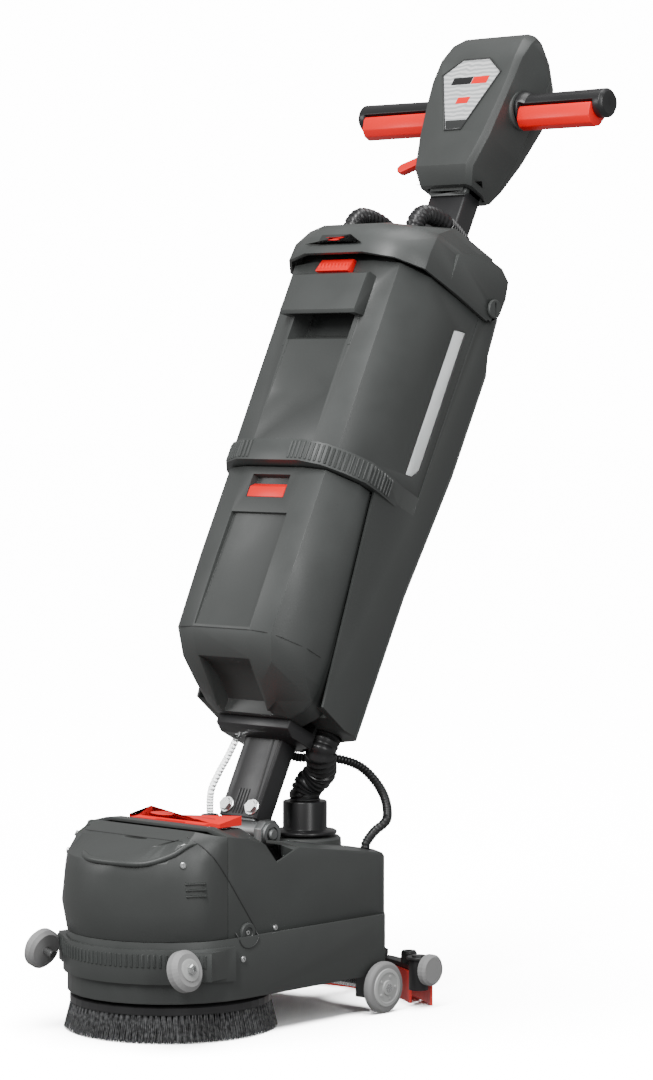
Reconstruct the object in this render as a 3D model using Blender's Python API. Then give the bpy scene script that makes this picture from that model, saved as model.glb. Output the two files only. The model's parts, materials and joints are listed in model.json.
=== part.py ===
"""Upright wet dry floor scrubber: every sub-part as its own named object.

Metres, +Z up, +X to the machine's left, -Y to its front. The origin is on the floor, under
the middle of the machine's box. Two empties carry the parts: "chassis" stands on the floor
under the brush axis, and "column_pivot" is on the tilt pin and leans back with the column.
In the column's frame y runs rearward from the pin (called u) and z runs up the column (v).
"""
import math

import bmesh
import bpy
from mathutils import Matrix, Vector

# ---------------------------------------------------------------- driving dimensions
GAP = 0.0003                     # clearance between neighbours that touch
BRUSH_Y = -0.2541                # brush axis, measured from the middle of the machine's box

BRUSH_R = 0.1185                 # brush block
BRISTLE_TIP_R = 0.1270
BRISTLE_H = 0.0320
BLOCK_H = 0.0110
HUB_H = 0.0200

SKIRT_X = 0.1215                 # half width of the lower skirt
SKIRT_BOTTOM = 0.0455
SKIRT_TOP = 0.1165
SKIRT_REAR = 0.2600
SKIRT_WALL = 0.0110
COVER_X = 0.1150                 # half width of the deck cover
COVER_WALL = 0.0035
COVER_FRONT = -0.0200
COVER_REAR = 0.2475
# deck stations: distance behind the brush, height of the middle, its half width, height of the edge
DECK = [(-0.0200, 0.2405, 0.0875, 0.2340), (-0.0045, 0.2410, 0.0790, 0.2312),
        (-0.0035, 0.2350, 0.0785, 0.2310),
        (0.0113, 0.2350, 0.0770, 0.2294), (0.0430, 0.2350, 0.0735, 0.2190), (0.0560, 0.2310, 0.0720,
                0.2165), (0.0750, 0.2180, 0.0850, 0.2140), (0.2435, 0.1935, 0.1000, 0.1905),
        (0.2475, 0.1890, 0.0980, 0.1860)]
FRAME_T = 0.0060

WHEEL_R = 0.0310
WHEEL_W = 0.0125
WHEEL_Y = 0.2290
AXLE_R = 0.0050
ROLLER_R = 0.0240
ROLLER_W = 0.0170
ROLLER_X = 0.1200
ROLLER_Y = -0.0950
ROLLER_Z = 0.0890
ROLLER_TILT = math.radians(16)

PIN_Y = 0.1135                   # tilt pin, from the brush axis
PIN_Z = 0.2190
PIN_R = 0.0060
LEAN = math.radians(26.9)
LUG_X = 0.0420                   # inner face of the fixed lugs
LUG_T = 0.0120
BARREL_R = 0.0142

TUBE_X = 0.0310                  # column tube: half width, depth, wall, ends
TUBE_U0 = -0.0110
TUBE_U1 = 0.0190
TUBE_WALL = 0.0030
TUBE_V0 = 0.0148
TUBE_V1 = 0.8950

BODY_X = 0.1060                  # half width of the body
REAR = [(0.142, 0.0570), (0.330, 0.0580), (0.500, 0.0715), (0.640, 0.0725), (0.664, 0.0640),
        (0.712, 0.0600)]
SHELL_WALL = 0.0035
SHELL_V0 = 0.1420
SHELL_V1 = 0.7120
SHELF_V0 = 0.4180                # the collar's shelf, between the two tanks
SHELF_V1 = 0.4460
COLLAR_OUT = 0.0080
TANK_FRONT = -0.1450
TANK_WALL = 0.0030
TANK_TOP = 0.6942
SEAM_U = 0.0040                  # back of the waste tank, where the shell begins
CLEAN_V0 = 0.1520
FOOT_V0 = 0.1335                 # the clean tank's lowest edge, on the bracket
CLEAN_INSET = 0.0040             # how much narrower the clean tank is than the body
SHELL_EDGE_TOP = -0.0713         # front edge of the shell's cheek, at the collar and low down
SHELL_EDGE_LOW = -0.0372
HOOD_X = 0.1130
HOOD_V0 = 0.6950
HOOD_FRONT = -0.1660
HOOD_WALL = 0.0035
HOOD_PIVOT = (0.0160, 0.7110)    # u, v of the hood's pivot screws

HEAD_FRONT = -0.0400
GRIP_U = 0.0025
GRIP_V = 0.9915
GRIP_R = 0.0185
GRIP_X0 = 0.0692
GRIP_X1 = 0.2050
TRIGGER_X0 = 0.0740
TRIGGER_X1 = 0.1900

BLADE_R = 0.2110                 # plan radius of the curved squeegee
BLADE_Y = 0.3440                 # its rearmost point
BLADE_X = 0.1340
BLADE_T = 0.0030
HOLDER_W = 0.0180
HOLDER_Z0 = 0.0260
HOLDER_Z1 = 0.0440
SQ_HINGE_Y = 0.2720
SQ_HINGE_Z = 0.0860
SQ_WHEEL_R = 0.0190
SQ_WHEEL_Z = 0.0460

MATERIALS = {}
FINISHES = {
    "charcoal_plastic": ((0.062, 0.066, 0.064), 0.45, 0.0),
    "black_plastic": ((0.020, 0.020, 0.021), 0.40, 0.0),
    "black_tube": ((0.024, 0.024, 0.024), 0.45, 0.0),
    "red_plastic": ((0.85, 0.018, 0.018), 0.35, 0.0),
    "grey_tyre": ((0.22, 0.22, 0.22), 0.6, 0.0),
    "steel": ((0.62, 0.62, 0.61), 0.28, 1.0),
    "cast_metal": ((0.30, 0.30, 0.29), 0.45, 1.0),
    "bristle": ((0.045, 0.045, 0.046), 0.7, 0.0),
    "clear_plastic": ((0.60, 0.61, 0.61), 0.35, 0.0),
    "blade_rubber": ((0.70, 0.02, 0.02), 0.5, 0.0),
    "silver_label": ((0.60, 0.60, 0.60), 0.4, 0.6),
}
GEARBOX_Z0 = 0.0760
MOTOR_R = 0.0460
AXLE_Z = WHEEL_R
WELL_X = 0.0600
WELL_Y0 = PIN_Y - 0.0500
WELL_Y1 = PIN_Y + 0.0600
TURRET_X = 0.0160
TURRET_Y = 0.2130
TURRET_R = 0.0270
CONDUIT_X = 0.0980
CONDUIT_Y = 0.2330
BUMPER_Z0 = 0.0690
BUMPER_Z1 = 0.1085
BUMPER_T = 0.0045
WHEEL_OUT = SKIRT_X + 0.0020 + WHEEL_W
BOLT_X = 0.0210
BOLT_V = 0.0275
SHELF_REAR = 0.0215
BATTERY_X = 0.0600
BATTERY_V0 = 0.5020
BATTERY_V1 = 0.6380
VAC_R = 0.0190
VAC_X = 0.0560
VAC_U = 0.0345
CONDUIT_R = 0.0060
CONDUIT_X0 = -0.0350
CONDUIT_U0 = 0.0480
TOP_HOSE_R = 0.0120
TOP_HOSE_X = 0.0560
TOP_HOSE_U = 0.0380
HANDLE_V0 = 0.6160
HANDLE_V1 = 0.6730
HANDLE_FRONT = -0.1605
HANDLE_X = 0.0620
WINDOW = [(-0.0290, 0.6580), (-0.0100, 0.6640), (-0.0100, 0.4760), (-0.0180, 0.4640), (-0.0290, 0.4620)]
WINDOW_CUT = [(-0.0293, 0.6584), (-0.0097, 0.6646), (-0.0097, 0.4758), (-0.0178, 0.4637),
              (-0.0293, 0.4617)]
LATCH_V0 = HANDLE_V1 + 0.0022
LATCH_V1 = TANK_TOP - 0.0005
SCREW_R = 0.0050
TURRET_Z0 = 0.1340
HEAD_ROWS = [(0.8690, 0.0425, -0.0240, 0.0330, 0.006), (0.8890, 0.0485, -0.0400, 0.0410, 0.007),
             (0.9340, 0.0590, -0.0400, 0.0510, 0.007),
             (0.9900, 0.0660, -0.0400, 0.0610, 0.006), (1.0150, 0.0685, -0.0400, 0.0610, 0.006), (1.0460,
                     0.0685, -0.0385, 0.0548, 0.007),
             (1.0720, 0.0665, -0.0310, 0.0350, 0.009), (1.0880, 0.0610, -0.0200, 0.0130, 0.010), (1.0965,
                     0.0480, -0.0080, 0.0090, 0.006)]
HEAD_SPLIT = 0.0300
BUTTON_V = 1.0150
LABEL_OUTLINE = [(-0.0134, 0.9400), (0.0134, 0.9400), (0.0485, 1.0220), (0.0220, 1.0435),
                 (-0.0220, 1.0435), (-0.0485, 1.0220)]
LABEL_MID = 0.9950
LEVER_U = -0.0220
LEVER_V = 0.9070
PEDAL_Y0 = -0.0020
PEDAL_Y1 = 0.0420
PEDAL_LIFT = 0.0030
PEDAL_T0 = 0.0035                # the pad's thickness at its front and rear edges
PEDAL_T1 = 0.0115
END_Y = 0.2928

# ---------------------------------------------------------------- start from an empty scene
for old in list(bpy.data.objects):
    bpy.data.objects.remove(old, do_unlink=True)


def material(name):
    """Return the named material, made once."""
    if name not in MATERIALS:
        colour, roughness, metallic = FINISHES[name]
        mat = bpy.data.materials.new(name)
        mat.use_nodes = True
        shader = mat.node_tree.nodes["Principled BSDF"]
        shader.inputs["Base Color"].default_value = (*colour, 1.0)
        shader.inputs["Roughness"].default_value = roughness
        shader.inputs["Metallic"].default_value = metallic
        MATERIALS[name] = mat
    return MATERIALS[name]


def empty(name, location, turn=(0, 0, 0), parent=None):
    """An empty that carries parts."""
    obj = bpy.data.objects.new(name, None)
    bpy.context.collection.objects.link(obj)
    obj.location = location
    obj.rotation_euler = turn
    obj.parent = parent
    return obj


CHASSIS = empty("chassis", (0, BRUSH_Y, 0))
COLUMN = empty("column_pivot", (0, PIN_Y, PIN_Z), (-LEAN, 0, 0), CHASSIS)


def finish(name, bm, mat=None, parent=CHASSIS, smooth=30):
    """Turn a bmesh into a named object under its empty."""
    bmesh.ops.recalc_face_normals(bm, faces=bm.faces)
    mesh = bpy.data.meshes.new(name)
    bm.to_mesh(mesh)
    bm.free()
    obj = bpy.data.objects.new(name, mesh)
    bpy.context.collection.objects.link(obj)
    obj.parent = parent
    if mat:
        mesh.materials.append(material(mat))
    mesh.shade_smooth()
    mesh.set_sharp_from_angle(angle=math.radians(smooth))
    return obj


def loft(name, rings, mat=None, parent=CHASSIS, smooth=30):
    """A closed solid through loops of points that all have the same count."""
    bm = bmesh.new()
    loops = [[bm.verts.new(p) for p in ring] for ring in rings]
    count = len(rings[0])
    for low, high in zip(loops, loops[1:]):
        for i in range(count):
            j = (i + 1) % count
            bm.faces.new((low[i], low[j], high[j], high[i]))
    bm.faces.new(list(reversed(loops[0])))
    bm.faces.new(loops[-1])
    return finish(name, bm, mat, parent, smooth)


def prism(name, outline, axis, low, high, mat=None, parent=CHASSIS, smooth=30):
    """An outline extruded along X, Y or Z."""
    place = {"X": lambda a, b, h: (h, a, b), "Y": lambda a, b, h: (a, h, b), "Z": lambda a, b,
             h: (a, b, h)}[axis]
    rings = [[place(a, b, h) for a, b in outline] for h in (low, high)]
    return loft(name, rings, mat, parent, smooth)


def box(name, low, high, mat=None, parent=CHASSIS):
    """An axis-aligned block from its lowest to its highest corner."""
    bm = bmesh.new()
    bmesh.ops.create_cube(bm, size=1.0)
    low, high = Vector(low), Vector(high)
    bmesh.ops.scale(bm, vec=high - low, verts=bm.verts)
    bmesh.ops.translate(bm, vec=(high + low) / 2, verts=bm.verts)
    return finish(name, bm, mat, parent)


def turned(name, profile, centre, axis="Z", mat=None, parent=CHASSIS, sides=32, smooth=30):
    """A closed (radius, height) profile turned round an axis through the centre.

    A profile that starts and ends at radius 0 makes a solid; one that never reaches the
    axis makes a ring.
    """
    turn = {"Z": Matrix(), "X": Matrix.Rotation(math.pi / 2, 4, "Y"),
            "Y": Matrix.Rotation(-math.pi / 2, 4, "X")}[axis]
    bm = bmesh.new()
    solid = profile[0][0] == 0
    columns = []
    for k in range(sides):
        angle = 2 * math.pi * k / sides
        inner = profile[1:-1] if solid else profile
        columns.append([bm.verts.new((r * math.cos(angle), r * math.sin(angle), h)) for r, h in inner])
    rows = len(columns[0])
    last = rows - 1 if solid else rows
    for k in range(sides):
        here, there = columns[k], columns[(k + 1) % sides]
        for i in range(last):
            j = (i + 1) % rows
            bm.faces.new((here[i], there[i], there[j], here[j]))
    if solid:
        bm.faces.new([column[0] for column in columns])
        bm.faces.new([column[-1] for column in columns])
    bmesh.ops.transform(bm, matrix=Matrix.Translation(centre) @ turn, verts=bm.verts)
    return finish(name, bm, mat, parent, smooth)


def rod(name, radius, start, end, mat=None, parent=CHASSIS, sides=24):
    """A plain round bar between two points."""
    start, end = Vector(start), Vector(end)
    bm = bmesh.new()
    bmesh.ops.create_cone(bm, cap_ends=True, segments=sides, radius1=radius, radius2=radius,
                          depth=(end - start).length)
    turn = Vector((0, 0, 1)).rotation_difference(end - start).to_matrix().to_4x4()
    bmesh.ops.transform(bm, matrix=Matrix.Translation((start + end) / 2) @ turn, verts=bm.verts)
    return finish(name, bm, mat, parent)


def hose(name, points, radius, mat, parent=CHASSIS, sides_half=3, steps=4):
    """A round tube along a smooth curve through hand-chosen points."""
    points = [Vector(p) for p in points]
    ends = [2 * points[0] - points[1]] + points + [2 * points[-1] - points[-2]]
    smooth_points = []
    for a, b, c, d in zip(ends, ends[1:], ends[2:], ends[3:]):
        for k in range(steps):
            t = k / steps
            smooth_points.append(0.5 * (2 * b + (c - a) * t + (2 * a - 5 * b + 4 * c - d) * t ** 2
                                        + (3 * b - a - 3 * c + d) * t ** 3))
    smooth_points.append(points[-1])
    curve = bpy.data.curves.new(name, "CURVE")
    curve.dimensions = "3D"
    curve.bevel_depth = radius
    curve.bevel_resolution = sides_half
    curve.use_fill_caps = True
    spline = curve.splines.new("POLY")
    spline.points.add(len(smooth_points) - 1)
    for spot, p in zip(spline.points, smooth_points):
        spot.co = (*p, 1.0)
    obj = bpy.data.objects.new(name, curve)
    bpy.context.collection.objects.link(obj)
    obj.parent = parent
    curve.materials.append(material(mat))
    return obj


def move_origin(obj, point):
    """Put an object's origin at a point of its parent's frame without moving its mesh."""
    shift = Vector(point) - obj.location
    obj.data.transform(Matrix.Translation(-(obj.rotation_euler.to_matrix().inverted() @ shift)))
    obj.location = obj.location + shift


def combine(target, operation, pieces):
    """Add or subtract pieces, which stay in the file as hidden helpers."""
    for piece in pieces:
        piece.hide_render = True
        piece.display_type = "WIRE"
        mod = target.modifiers.new(piece.name, "BOOLEAN")
        mod.operation = operation
        mod.object = piece
        mod.solver = "EXACT"
    return target


def cut(target, *pieces):
    """Subtract each piece from the target."""
    return combine(target, "DIFFERENCE", pieces)


def add(target, *pieces):
    """Unite each piece with the target."""
    return combine(target, "UNION", pieces)


def mirrored(outline):
    """Complete a symmetric outline: points at +X, from front to back, and their mirror."""
    return [(-x, y) for x, y in reversed(outline)] + list(outline)


def round_box(half_x, y0, y1, radius, steps=3):
    """Rounded rectangle in x and y, centred on x = 0."""
    corners = [(half_x - radius, y0 + radius, -90), (half_x - radius, y1 - radius, 0),
               (-half_x + radius, y1 - radius, 90), (-half_x + radius, y0 + radius, 180)]
    points = []
    for cx, cy, start in corners:
        for k in range(steps + 1):
            a = math.radians(start + 90 * k / steps)
            points.append((cx + radius * math.cos(a), cy + radius * math.sin(a)))
    return points


def d_shape(half_x, front, rear, y_turn=0.0, corner=0.0, steps=14):
    """Plan outline with a round front and a straight back."""
    points = []
    for k in range(steps + 1):
        a = math.pi * k / steps
        points.append((-half_x * math.cos(a), y_turn - (y_turn - front) * math.sin(a)))
    if corner:
        return points + [(half_x, rear - corner), (half_x - corner, rear), (-half_x + corner, rear),
                         (-half_x, rear - corner)]
    return points + [(half_x, rear), (-half_x, rear)]


def flat(points, z):
    """Lift a plan outline to a height."""
    return [(x, y, z) for x, y in points]


def deck_z(y):
    """Height of the middle of the deck at a distance behind the brush axis."""
    for (y0, z0, _, _), (y1, z1, _, _) in zip(DECK, DECK[1:]):
        if y <= y1:
            return z0 + (z1 - z0) * (y - y0) / (y1 - y0)
    return DECK[-1][1]


# ---------------------------------------------------------------- brush
def make_brush():
    """Bristle ring, block and drive spindle, which spin together."""
    tip, root = BRISTLE_TIP_R, BRUSH_R - 0.004
    turned("brush_bristles", [(0.062, 0.0), (tip, 0.0), (root, BRISTLE_H), (0.062, BRISTLE_H)],
           (0, 0, 0), mat="bristle", sides=48)
    base = BRISTLE_H + GAP
    top = base + BLOCK_H
    turned("brush_block", [(0.0, base), (BRUSH_R, base), (BRUSH_R, top - 0.003), (BRUSH_R - 0.006, top),
                           (0.030, top), (0.026, top + HUB_H), (0.0, top + HUB_H)],
           (0, 0, 0), mat="black_plastic", sides=48)
    rod("brush_spindle", 0.008, (0, 0, top + HUB_H + GAP), (0, 0, GEARBOX_Z0 - GAP), "steel")


def make_drive():
    """Brush motor on the frame and its gearbox beneath."""
    plate_low = SKIRT_TOP + GAP
    turned("brush_gearbox", [(0.0, GEARBOX_Z0), (0.045, GEARBOX_Z0), (0.052, GEARBOX_Z0 + 0.008),
                             (0.052, plate_low - GAP), (0.0, plate_low - GAP)],
           (0, 0, 0), mat="cast_metal", sides=32)
    low = plate_low + FRAME_T + GAP
    turned("brush_motor", [(0.0, low), (MOTOR_R, low), (MOTOR_R, low + 0.070),
                           (MOTOR_R - 0.010, low + 0.082),
                           (0.0, low + 0.082)], (0, 0, 0), mat="black_plastic", sides=32)


# ---------------------------------------------------------------- base shells
def make_skirt():
    """Lower skirt: round at the front, closed below by a floor with a hole for the brush hub."""
    outer = d_shape(SKIRT_X, -SKIRT_X, SKIRT_REAR, corner=0.018)
    skirt = loft("base_skirt", [flat(outer, SKIRT_BOTTOM), flat(outer, SKIRT_TOP)], "charcoal_plastic")
    inner_x = SKIRT_X - SKIRT_WALL
    inner = d_shape(inner_x, -inner_x, SKIRT_REAR - SKIRT_WALL, corner=0.012)
    hollow = loft("skirt_hollow", [flat(inner, SKIRT_BOTTOM + 0.006), flat(inner, SKIRT_TOP + 0.01)])
    hub = turned("skirt_hub_hole", [(0.0, 0.03), (0.034, 0.03), (0.034, 0.06), (0.0, 0.06)], (0, 0, 0))
    axle = rod("skirt_axle_hole", AXLE_R + GAP, (-0.2, WHEEL_Y, AXLE_Z), (0.2, WHEEL_Y, AXLE_Z), sides=16)
    cut(skirt, hollow, hub)
    bosses = []
    for side in (-1, 1):
        x0, x1 = sorted((side * (SKIRT_X - 0.022), side * (SKIRT_X - 0.0005)))
        bosses.append(box(f"axle_boss_{side}", (x0, WHEEL_Y - 0.016, 0.018),
                          (x1, WHEEL_Y + 0.016, SKIRT_BOTTOM + 0.004)))
    add(skirt, *bosses)
    cut(skirt, axle)


def make_frame():
    """Steel plate that carries the motor, the pivot bracket and the covers."""
    half = COVER_X - COVER_WALL - 0.0005
    low = SKIRT_TOP + GAP
    plate = d_shape(half, -half - 0.0015, COVER_REAR - COVER_WALL - 0.002)
    frame = loft("base_frame", [flat(plate, low), flat(plate, low + FRAME_T)], "black_tube")
    return frame


def make_cover():
    """Deck cover: two side panels and a sloping deck, with the notch and well for the column."""
    low = SKIRT_TOP + GAP
    wall = COVER_WALL
    outer, inner = [], []
    for y, middle, half, edge in DECK:
        outer.append([(x, y, z) for x, z in mirrored([(half, middle), (COVER_X, edge), (COVER_X, low)])])
        x0, z0 = COVER_X - wall, low - 0.01
        inner.append([(x, y, z) for x, z in mirrored([(half - wall, middle - wall), (x0, edge - wall),
                                                      (x0, z0)])])
    cover = loft("base_cover", outer, "charcoal_plastic")
    inner = inner[:-1]
    inner[0] = [(x, y - 0.01, z) for x, y, z in inner[0]]
    hollow = loft("cover_hollow", inner)
    well = box("column_well", (-WELL_X, WELL_Y0, 0.15), (WELL_X, WELL_Y1, 0.30))
    notch = prism("side_notch", [(PIN_Y - 0.072, 0.30), (PIN_Y - 0.072, PIN_Z + 0.0003),
                                 (PIN_Y - 0.0525, PIN_Z - 0.0225),
                                 (PIN_Y - 0.014, PIN_Z - 0.008), (PIN_Y - 0.014, 0.30)], "X", -0.2, 0.2)
    mouth = turned("turret_mouth", [(0.0, 0.15), (0.030, 0.15), (0.030, 0.25), (0.0, 0.25)],
                   (TURRET_X, TURRET_Y, 0))
    port = turned("conduit_port", [(0.0, 0.15), (0.0085, 0.15), (0.0085, 0.25), (0.0, 0.25)],
                  (CONDUIT_X, CONDUIT_Y, 0), sides=20)
    spout = box("squeegee_hose_port", (-0.019, COVER_REAR - 0.01, 0.128),
                (0.019, COVER_REAR + 0.01, 0.166))
    cut(cover, hollow, well, notch, mouth, port, spout)


def cover_ring(radius, front, inset=0.0, rear=0.0, steps=26):
    """Round front outline, cut straight across at the front; it is as wide as the cover at the seam."""
    seam = math.hypot(COVER_X, COVER_FRONT) - inset
    start = math.asin(-COVER_FRONT / seam)
    points = []
    for k in range(steps + 1):
        turn = (math.pi - 2 * start) * min(k, steps - k) / steps
        share = min(1.0, turn / math.radians(20))
        r = seam + (radius - inset - seam) * share * share * (3 - 2 * share)
        a = start + (math.pi - 2 * start) * k / steps
        points.append((-r * math.cos(a), max(-r * math.sin(a), front + inset)))
    points[0] = (-COVER_X + inset, COVER_FRONT - GAP)
    points[-1] = (COVER_X - inset, COVER_FRONT - GAP)
    if rear:
        points = [(-COVER_X + inset, rear)] + points + [(COVER_X - inset, rear)]
    return points


def make_front_cover():
    """Round front cover, over the brush motor: a straight visor at the top, round below."""
    low = SKIRT_TOP + GAP
    levels = [(low, 0.1215, -0.2), (0.150, 0.1275, -0.2), (0.190, 0.1235, -0.2), (0.2070, 0.1210, -0.118),
              (0.2270, 0.1110, -0.070), (0.2400, 0.0985, -0.0450)]
    rings = [flat(cover_ring(r, front), z) for z, r, front in levels]
    top = [(x, y, z - 0.0060 * max(0.0, (abs(x) - 0.0875) / 0.0275)) for x, y, z in rings[-1]]
    shell = loft("front_cover", rings[:-1] + [top], "charcoal_plastic", smooth=40)
    wall = COVER_WALL
    inner = [(low - 0.01, 0.1215, -0.2)] + levels[1:-1] + [(0.2400 - wall, 0.0985, -0.0500)]
    hollow_rings = [flat(cover_ring(r, front, wall, COVER_FRONT + 0.02),
                         z - (0.0 if z < 0.2 else 0.002)) for z, r, front in inner]
    hollow_rings[-1] = [(x, y, z - 0.0055 * max(0.0, (abs(x) - 0.0840) / 0.0275)) for x, y,
                        z in hollow_rings[-1]]
    cut(shell, loft("front_hollow", hollow_rings))


def arc_outline(r0, r1, start, end, steps=16, centre=(0, 0)):
    """Ring sector in plan, from one angle to another in degrees."""
    outer, inner = [], []
    for k in range(steps + 1):
        a = math.radians(start + (end - start) * k / steps)
        outer.append((centre[0] + r1 * math.cos(a), centre[1] + r1 * math.sin(a)))
        inner.append((centre[0] + r0 * math.cos(a), centre[1] + r0 * math.sin(a)))
    return outer + list(reversed(inner))


def make_bumper():
    """Bumper band round the front, with an arm to each corner roller."""
    r0 = SKIRT_X + GAP
    band = prism("bumper", arc_outline(r0, r0 + BUMPER_T, 180 + 8, 360 - 8), "Z", BUMPER_Z0, BUMPER_Z1,
                 "charcoal_plastic")
    arms = []
    for side in (-1, 1):
        reach = [(side * 0.1215, -0.020), (side * 0.1255, -0.060),
                 (side * (ROLLER_X + 0.008), ROLLER_Y + 0.035),
                 (side * (ROLLER_X + 0.002), ROLLER_Y + 0.029), (side * 0.096, -0.083)]
        arms.append(prism(f"bumper_arm_{side}", reach, "Z", BUMPER_Z0 + 0.004, BUMPER_Z1 - 0.003))
    add(band, *arms)
    clear = turned("bumper_bore", [(0.0, 0.05), (r0, 0.05), (r0, 0.13), (0.0, 0.13)], (0, 0, 0), sides=64)
    cut(band, clear)


def roller_frame(side):
    """Place and axis of a corner roller: the axis points out and forward, and tips up."""
    centre = Vector((side * ROLLER_X, ROLLER_Y, ROLLER_Z))
    axis = Vector((side * math.cos(ROLLER_TILT), 0, math.sin(ROLLER_TILT)))
    return centre, axis


def make_rollers():
    """Corner rollers, free on tilted axles fixed to the bumper."""
    for side, name in ((1, "left"), (-1, "right")):
        centre, axis = roller_frame(side)
        turn = Vector((0, 0, 1)).rotation_difference(axis).to_matrix().to_4x4()
        half = ROLLER_W / 2
        bore = 0.0045 + GAP
        profile = [(bore, -half), (ROLLER_R - 0.004, -half), (ROLLER_R, -half + 0.004),
                   (ROLLER_R, half - 0.005),
                   (ROLLER_R - 0.005, half), (bore, half)]
        wheel = turned(f"bumper_roller_{name}", profile, (0, 0, 0), mat="grey_tyre")
        wheel.data.transform(Matrix.Translation(centre) @ turn)
        start = centre - axis * (half + 0.012)
        end = centre + axis * (half + 0.004)
        rod(f"roller_axle_{name}", 0.0045, start, end, "steel", sides=16)


def make_wheels():
    """Rear transport wheels on one axle that passes through the skirt."""
    axle = rod("rear_axle", AXLE_R, (-WHEEL_OUT - 0.004, WHEEL_Y, AXLE_Z),
               (WHEEL_OUT + 0.004, WHEEL_Y, AXLE_Z), "steel", sides=16)
    for side, name in ((1, "left"), (-1, "right")):
        bore = AXLE_R + GAP
        x0 = WHEEL_OUT - WHEEL_W
        profile = [(bore, x0), (WHEEL_R - 0.003, x0), (WHEEL_R, x0 + 0.003), (WHEEL_R, WHEEL_OUT - 0.003),
                   (WHEEL_R - 0.003, WHEEL_OUT), (bore, WHEEL_OUT)]
        profile = [(r, side * h) for r, h in profile]
        turned(f"rear_wheel_{name}", profile, (0, WHEEL_Y, AXLE_Z), "X", "grey_tyre")
    return axle


# ---------------------------------------------------------------- tilt joint
def make_pivot():
    """Fixed bracket with two lugs, and the pin through them."""
    low = SKIRT_TOP + GAP + FRAME_T + GAP
    bracket = box("pivot_bracket", (-LUG_X - LUG_T, WELL_Y0 + 0.004, low),
                  (LUG_X + LUG_T, WELL_Y1 - 0.004, low + 0.010), "cast_metal")
    lugs = []
    for side in (-1, 1):
        x0, x1 = sorted((side * LUG_X, side * (LUG_X + LUG_T)))
        outline = [(PIN_Y - 0.040, low + 0.004), (PIN_Y + 0.030, low + 0.004),
                   (PIN_Y + 0.016, PIN_Z - 0.008),
                   (PIN_Y + 0.0165, PIN_Z + 0.008), (PIN_Y + 0.008, PIN_Z + 0.0165), (PIN_Y - 0.008,
                           PIN_Z + 0.0165),
                   (PIN_Y - 0.0165, PIN_Z + 0.008), (PIN_Y - 0.018, PIN_Z - 0.010)]
        lugs.append(prism(f"lug_{side}", outline, "X", x0, x1))
    add(bracket, *lugs)
    cut(bracket, rod("lug_bore", PIN_R + GAP, (-0.1, PIN_Y, PIN_Z), (0.1, PIN_Y, PIN_Z), sides=20))
    reach = LUG_X + LUG_T + 0.003
    rod("pivot_pin", PIN_R, (-reach, PIN_Y, PIN_Z), (reach, PIN_Y, PIN_Z), "steel", sides=20)


def make_column():
    """Cast knuckle on the pin, the column tube over its stem, and the two bolts."""
    half = LUG_X - 2 * GAP
    knuckle = turned("column_knuckle", [(0.0, -half), (BARREL_R, -half), (BARREL_R, half), (0.0, half)],
                     (0, 0, 0), "X", "cast_metal", COLUMN)
    inner_x = TUBE_X - TUBE_WALL - GAP
    u0, u1 = TUBE_U0 + TUBE_WALL + GAP, TUBE_U1 - TUBE_WALL - GAP
    stem = prism("knuckle_stem", round_box(inner_x, u0, u1, 0.0018), "Z", 0.0, 0.070, parent=COLUMN)
    add(knuckle, stem)
    cut(knuckle, rod("knuckle_bore", PIN_R + GAP, (-0.1, 0, 0), (0.1, 0, 0), parent=COLUMN, sides=20))
    outer = round_box(TUBE_X, TUBE_U0, TUBE_U1, 0.004)
    inner = round_box(TUBE_X - TUBE_WALL, TUBE_U0 + TUBE_WALL, TUBE_U1 - TUBE_WALL, 0.0015)
    tube = prism("column_tube", outer, "Z", TUBE_V0, TUBE_V1, "black_tube", COLUMN)
    cut(tube, prism("tube_bore", inner, "Z", TUBE_V0 - 0.01, TUBE_V1 + 0.01, parent=COLUMN))
    for side, name in ((1, "left"), (-1, "right")):
        spot = (side * BOLT_X, 0, BOLT_V)
        face = TUBE_U0 - GAP
        shank = rod(f"bolt_hole_{name}", 0.0040 + GAP, (spot[0], face - 0.01, BOLT_V),
                    (spot[0], u0 + 0.0105, BOLT_V), parent=COLUMN, sides=16)
        cut(tube, shank)
        shank_too = rod(f"bolt_hole_in_stem_{name}", 0.0040 + GAP, (spot[0], face - 0.01, BOLT_V),
                        (spot[0], u0 + 0.0105, BOLT_V), parent=COLUMN, sides=16)
        cut(knuckle, shank_too)
        bolt = turned(f"column_bolt_{name}", [(0.0, 0.0), (0.0080, 0.0), (0.0080, 0.0055), (0.0, 0.0055)],
                      (spot[0], face - 0.0055, BOLT_V), "Y", "steel", COLUMN, sides=6)
        add(bolt, rod(f"bolt_shank_{name}", 0.0040, (spot[0], face - 0.002, BOLT_V),
                      (spot[0], u0 + 0.010, BOLT_V), parent=COLUMN, sides=16))


# ---------------------------------------------------------------- body
def shell_edge(v):
    """Front edge of the shell's cheeks beside the clean tank."""
    share = (v - CLEAN_V0) / (SHELF_V0 - CLEAN_V0)
    return SHELL_EDGE_LOW + (SHELL_EDGE_TOP - SHELL_EDGE_LOW) * share


def body_section(front, half_x, rear):
    """Right half of the body's front, from the middle of the front face to the side."""
    return [(0.050, front), (half_x - 0.018, front + 0.008), (half_x, front + 0.046), (half_x, rear)]


def rear_at(v):
    """Depth of the body's back at a height up the column."""
    for (v0, r0), (v1, r1) in zip(REAR, REAR[1:]):
        if v <= v1:
            return r0 + (r1 - r0) * (v - v0) / (v1 - v0)
    return REAR[-1][1]


def spine_ring(v, edge, wall=0.0):
    """Spine outline at one height, from the front edge of its cheeks to its back."""
    rear = rear_at(v) - wall
    x = BODY_X - wall
    return flat(mirrored([(x, edge), (x, rear - 0.026), (x - 0.010, rear - 0.012), (0.060, rear)]), v)


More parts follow.
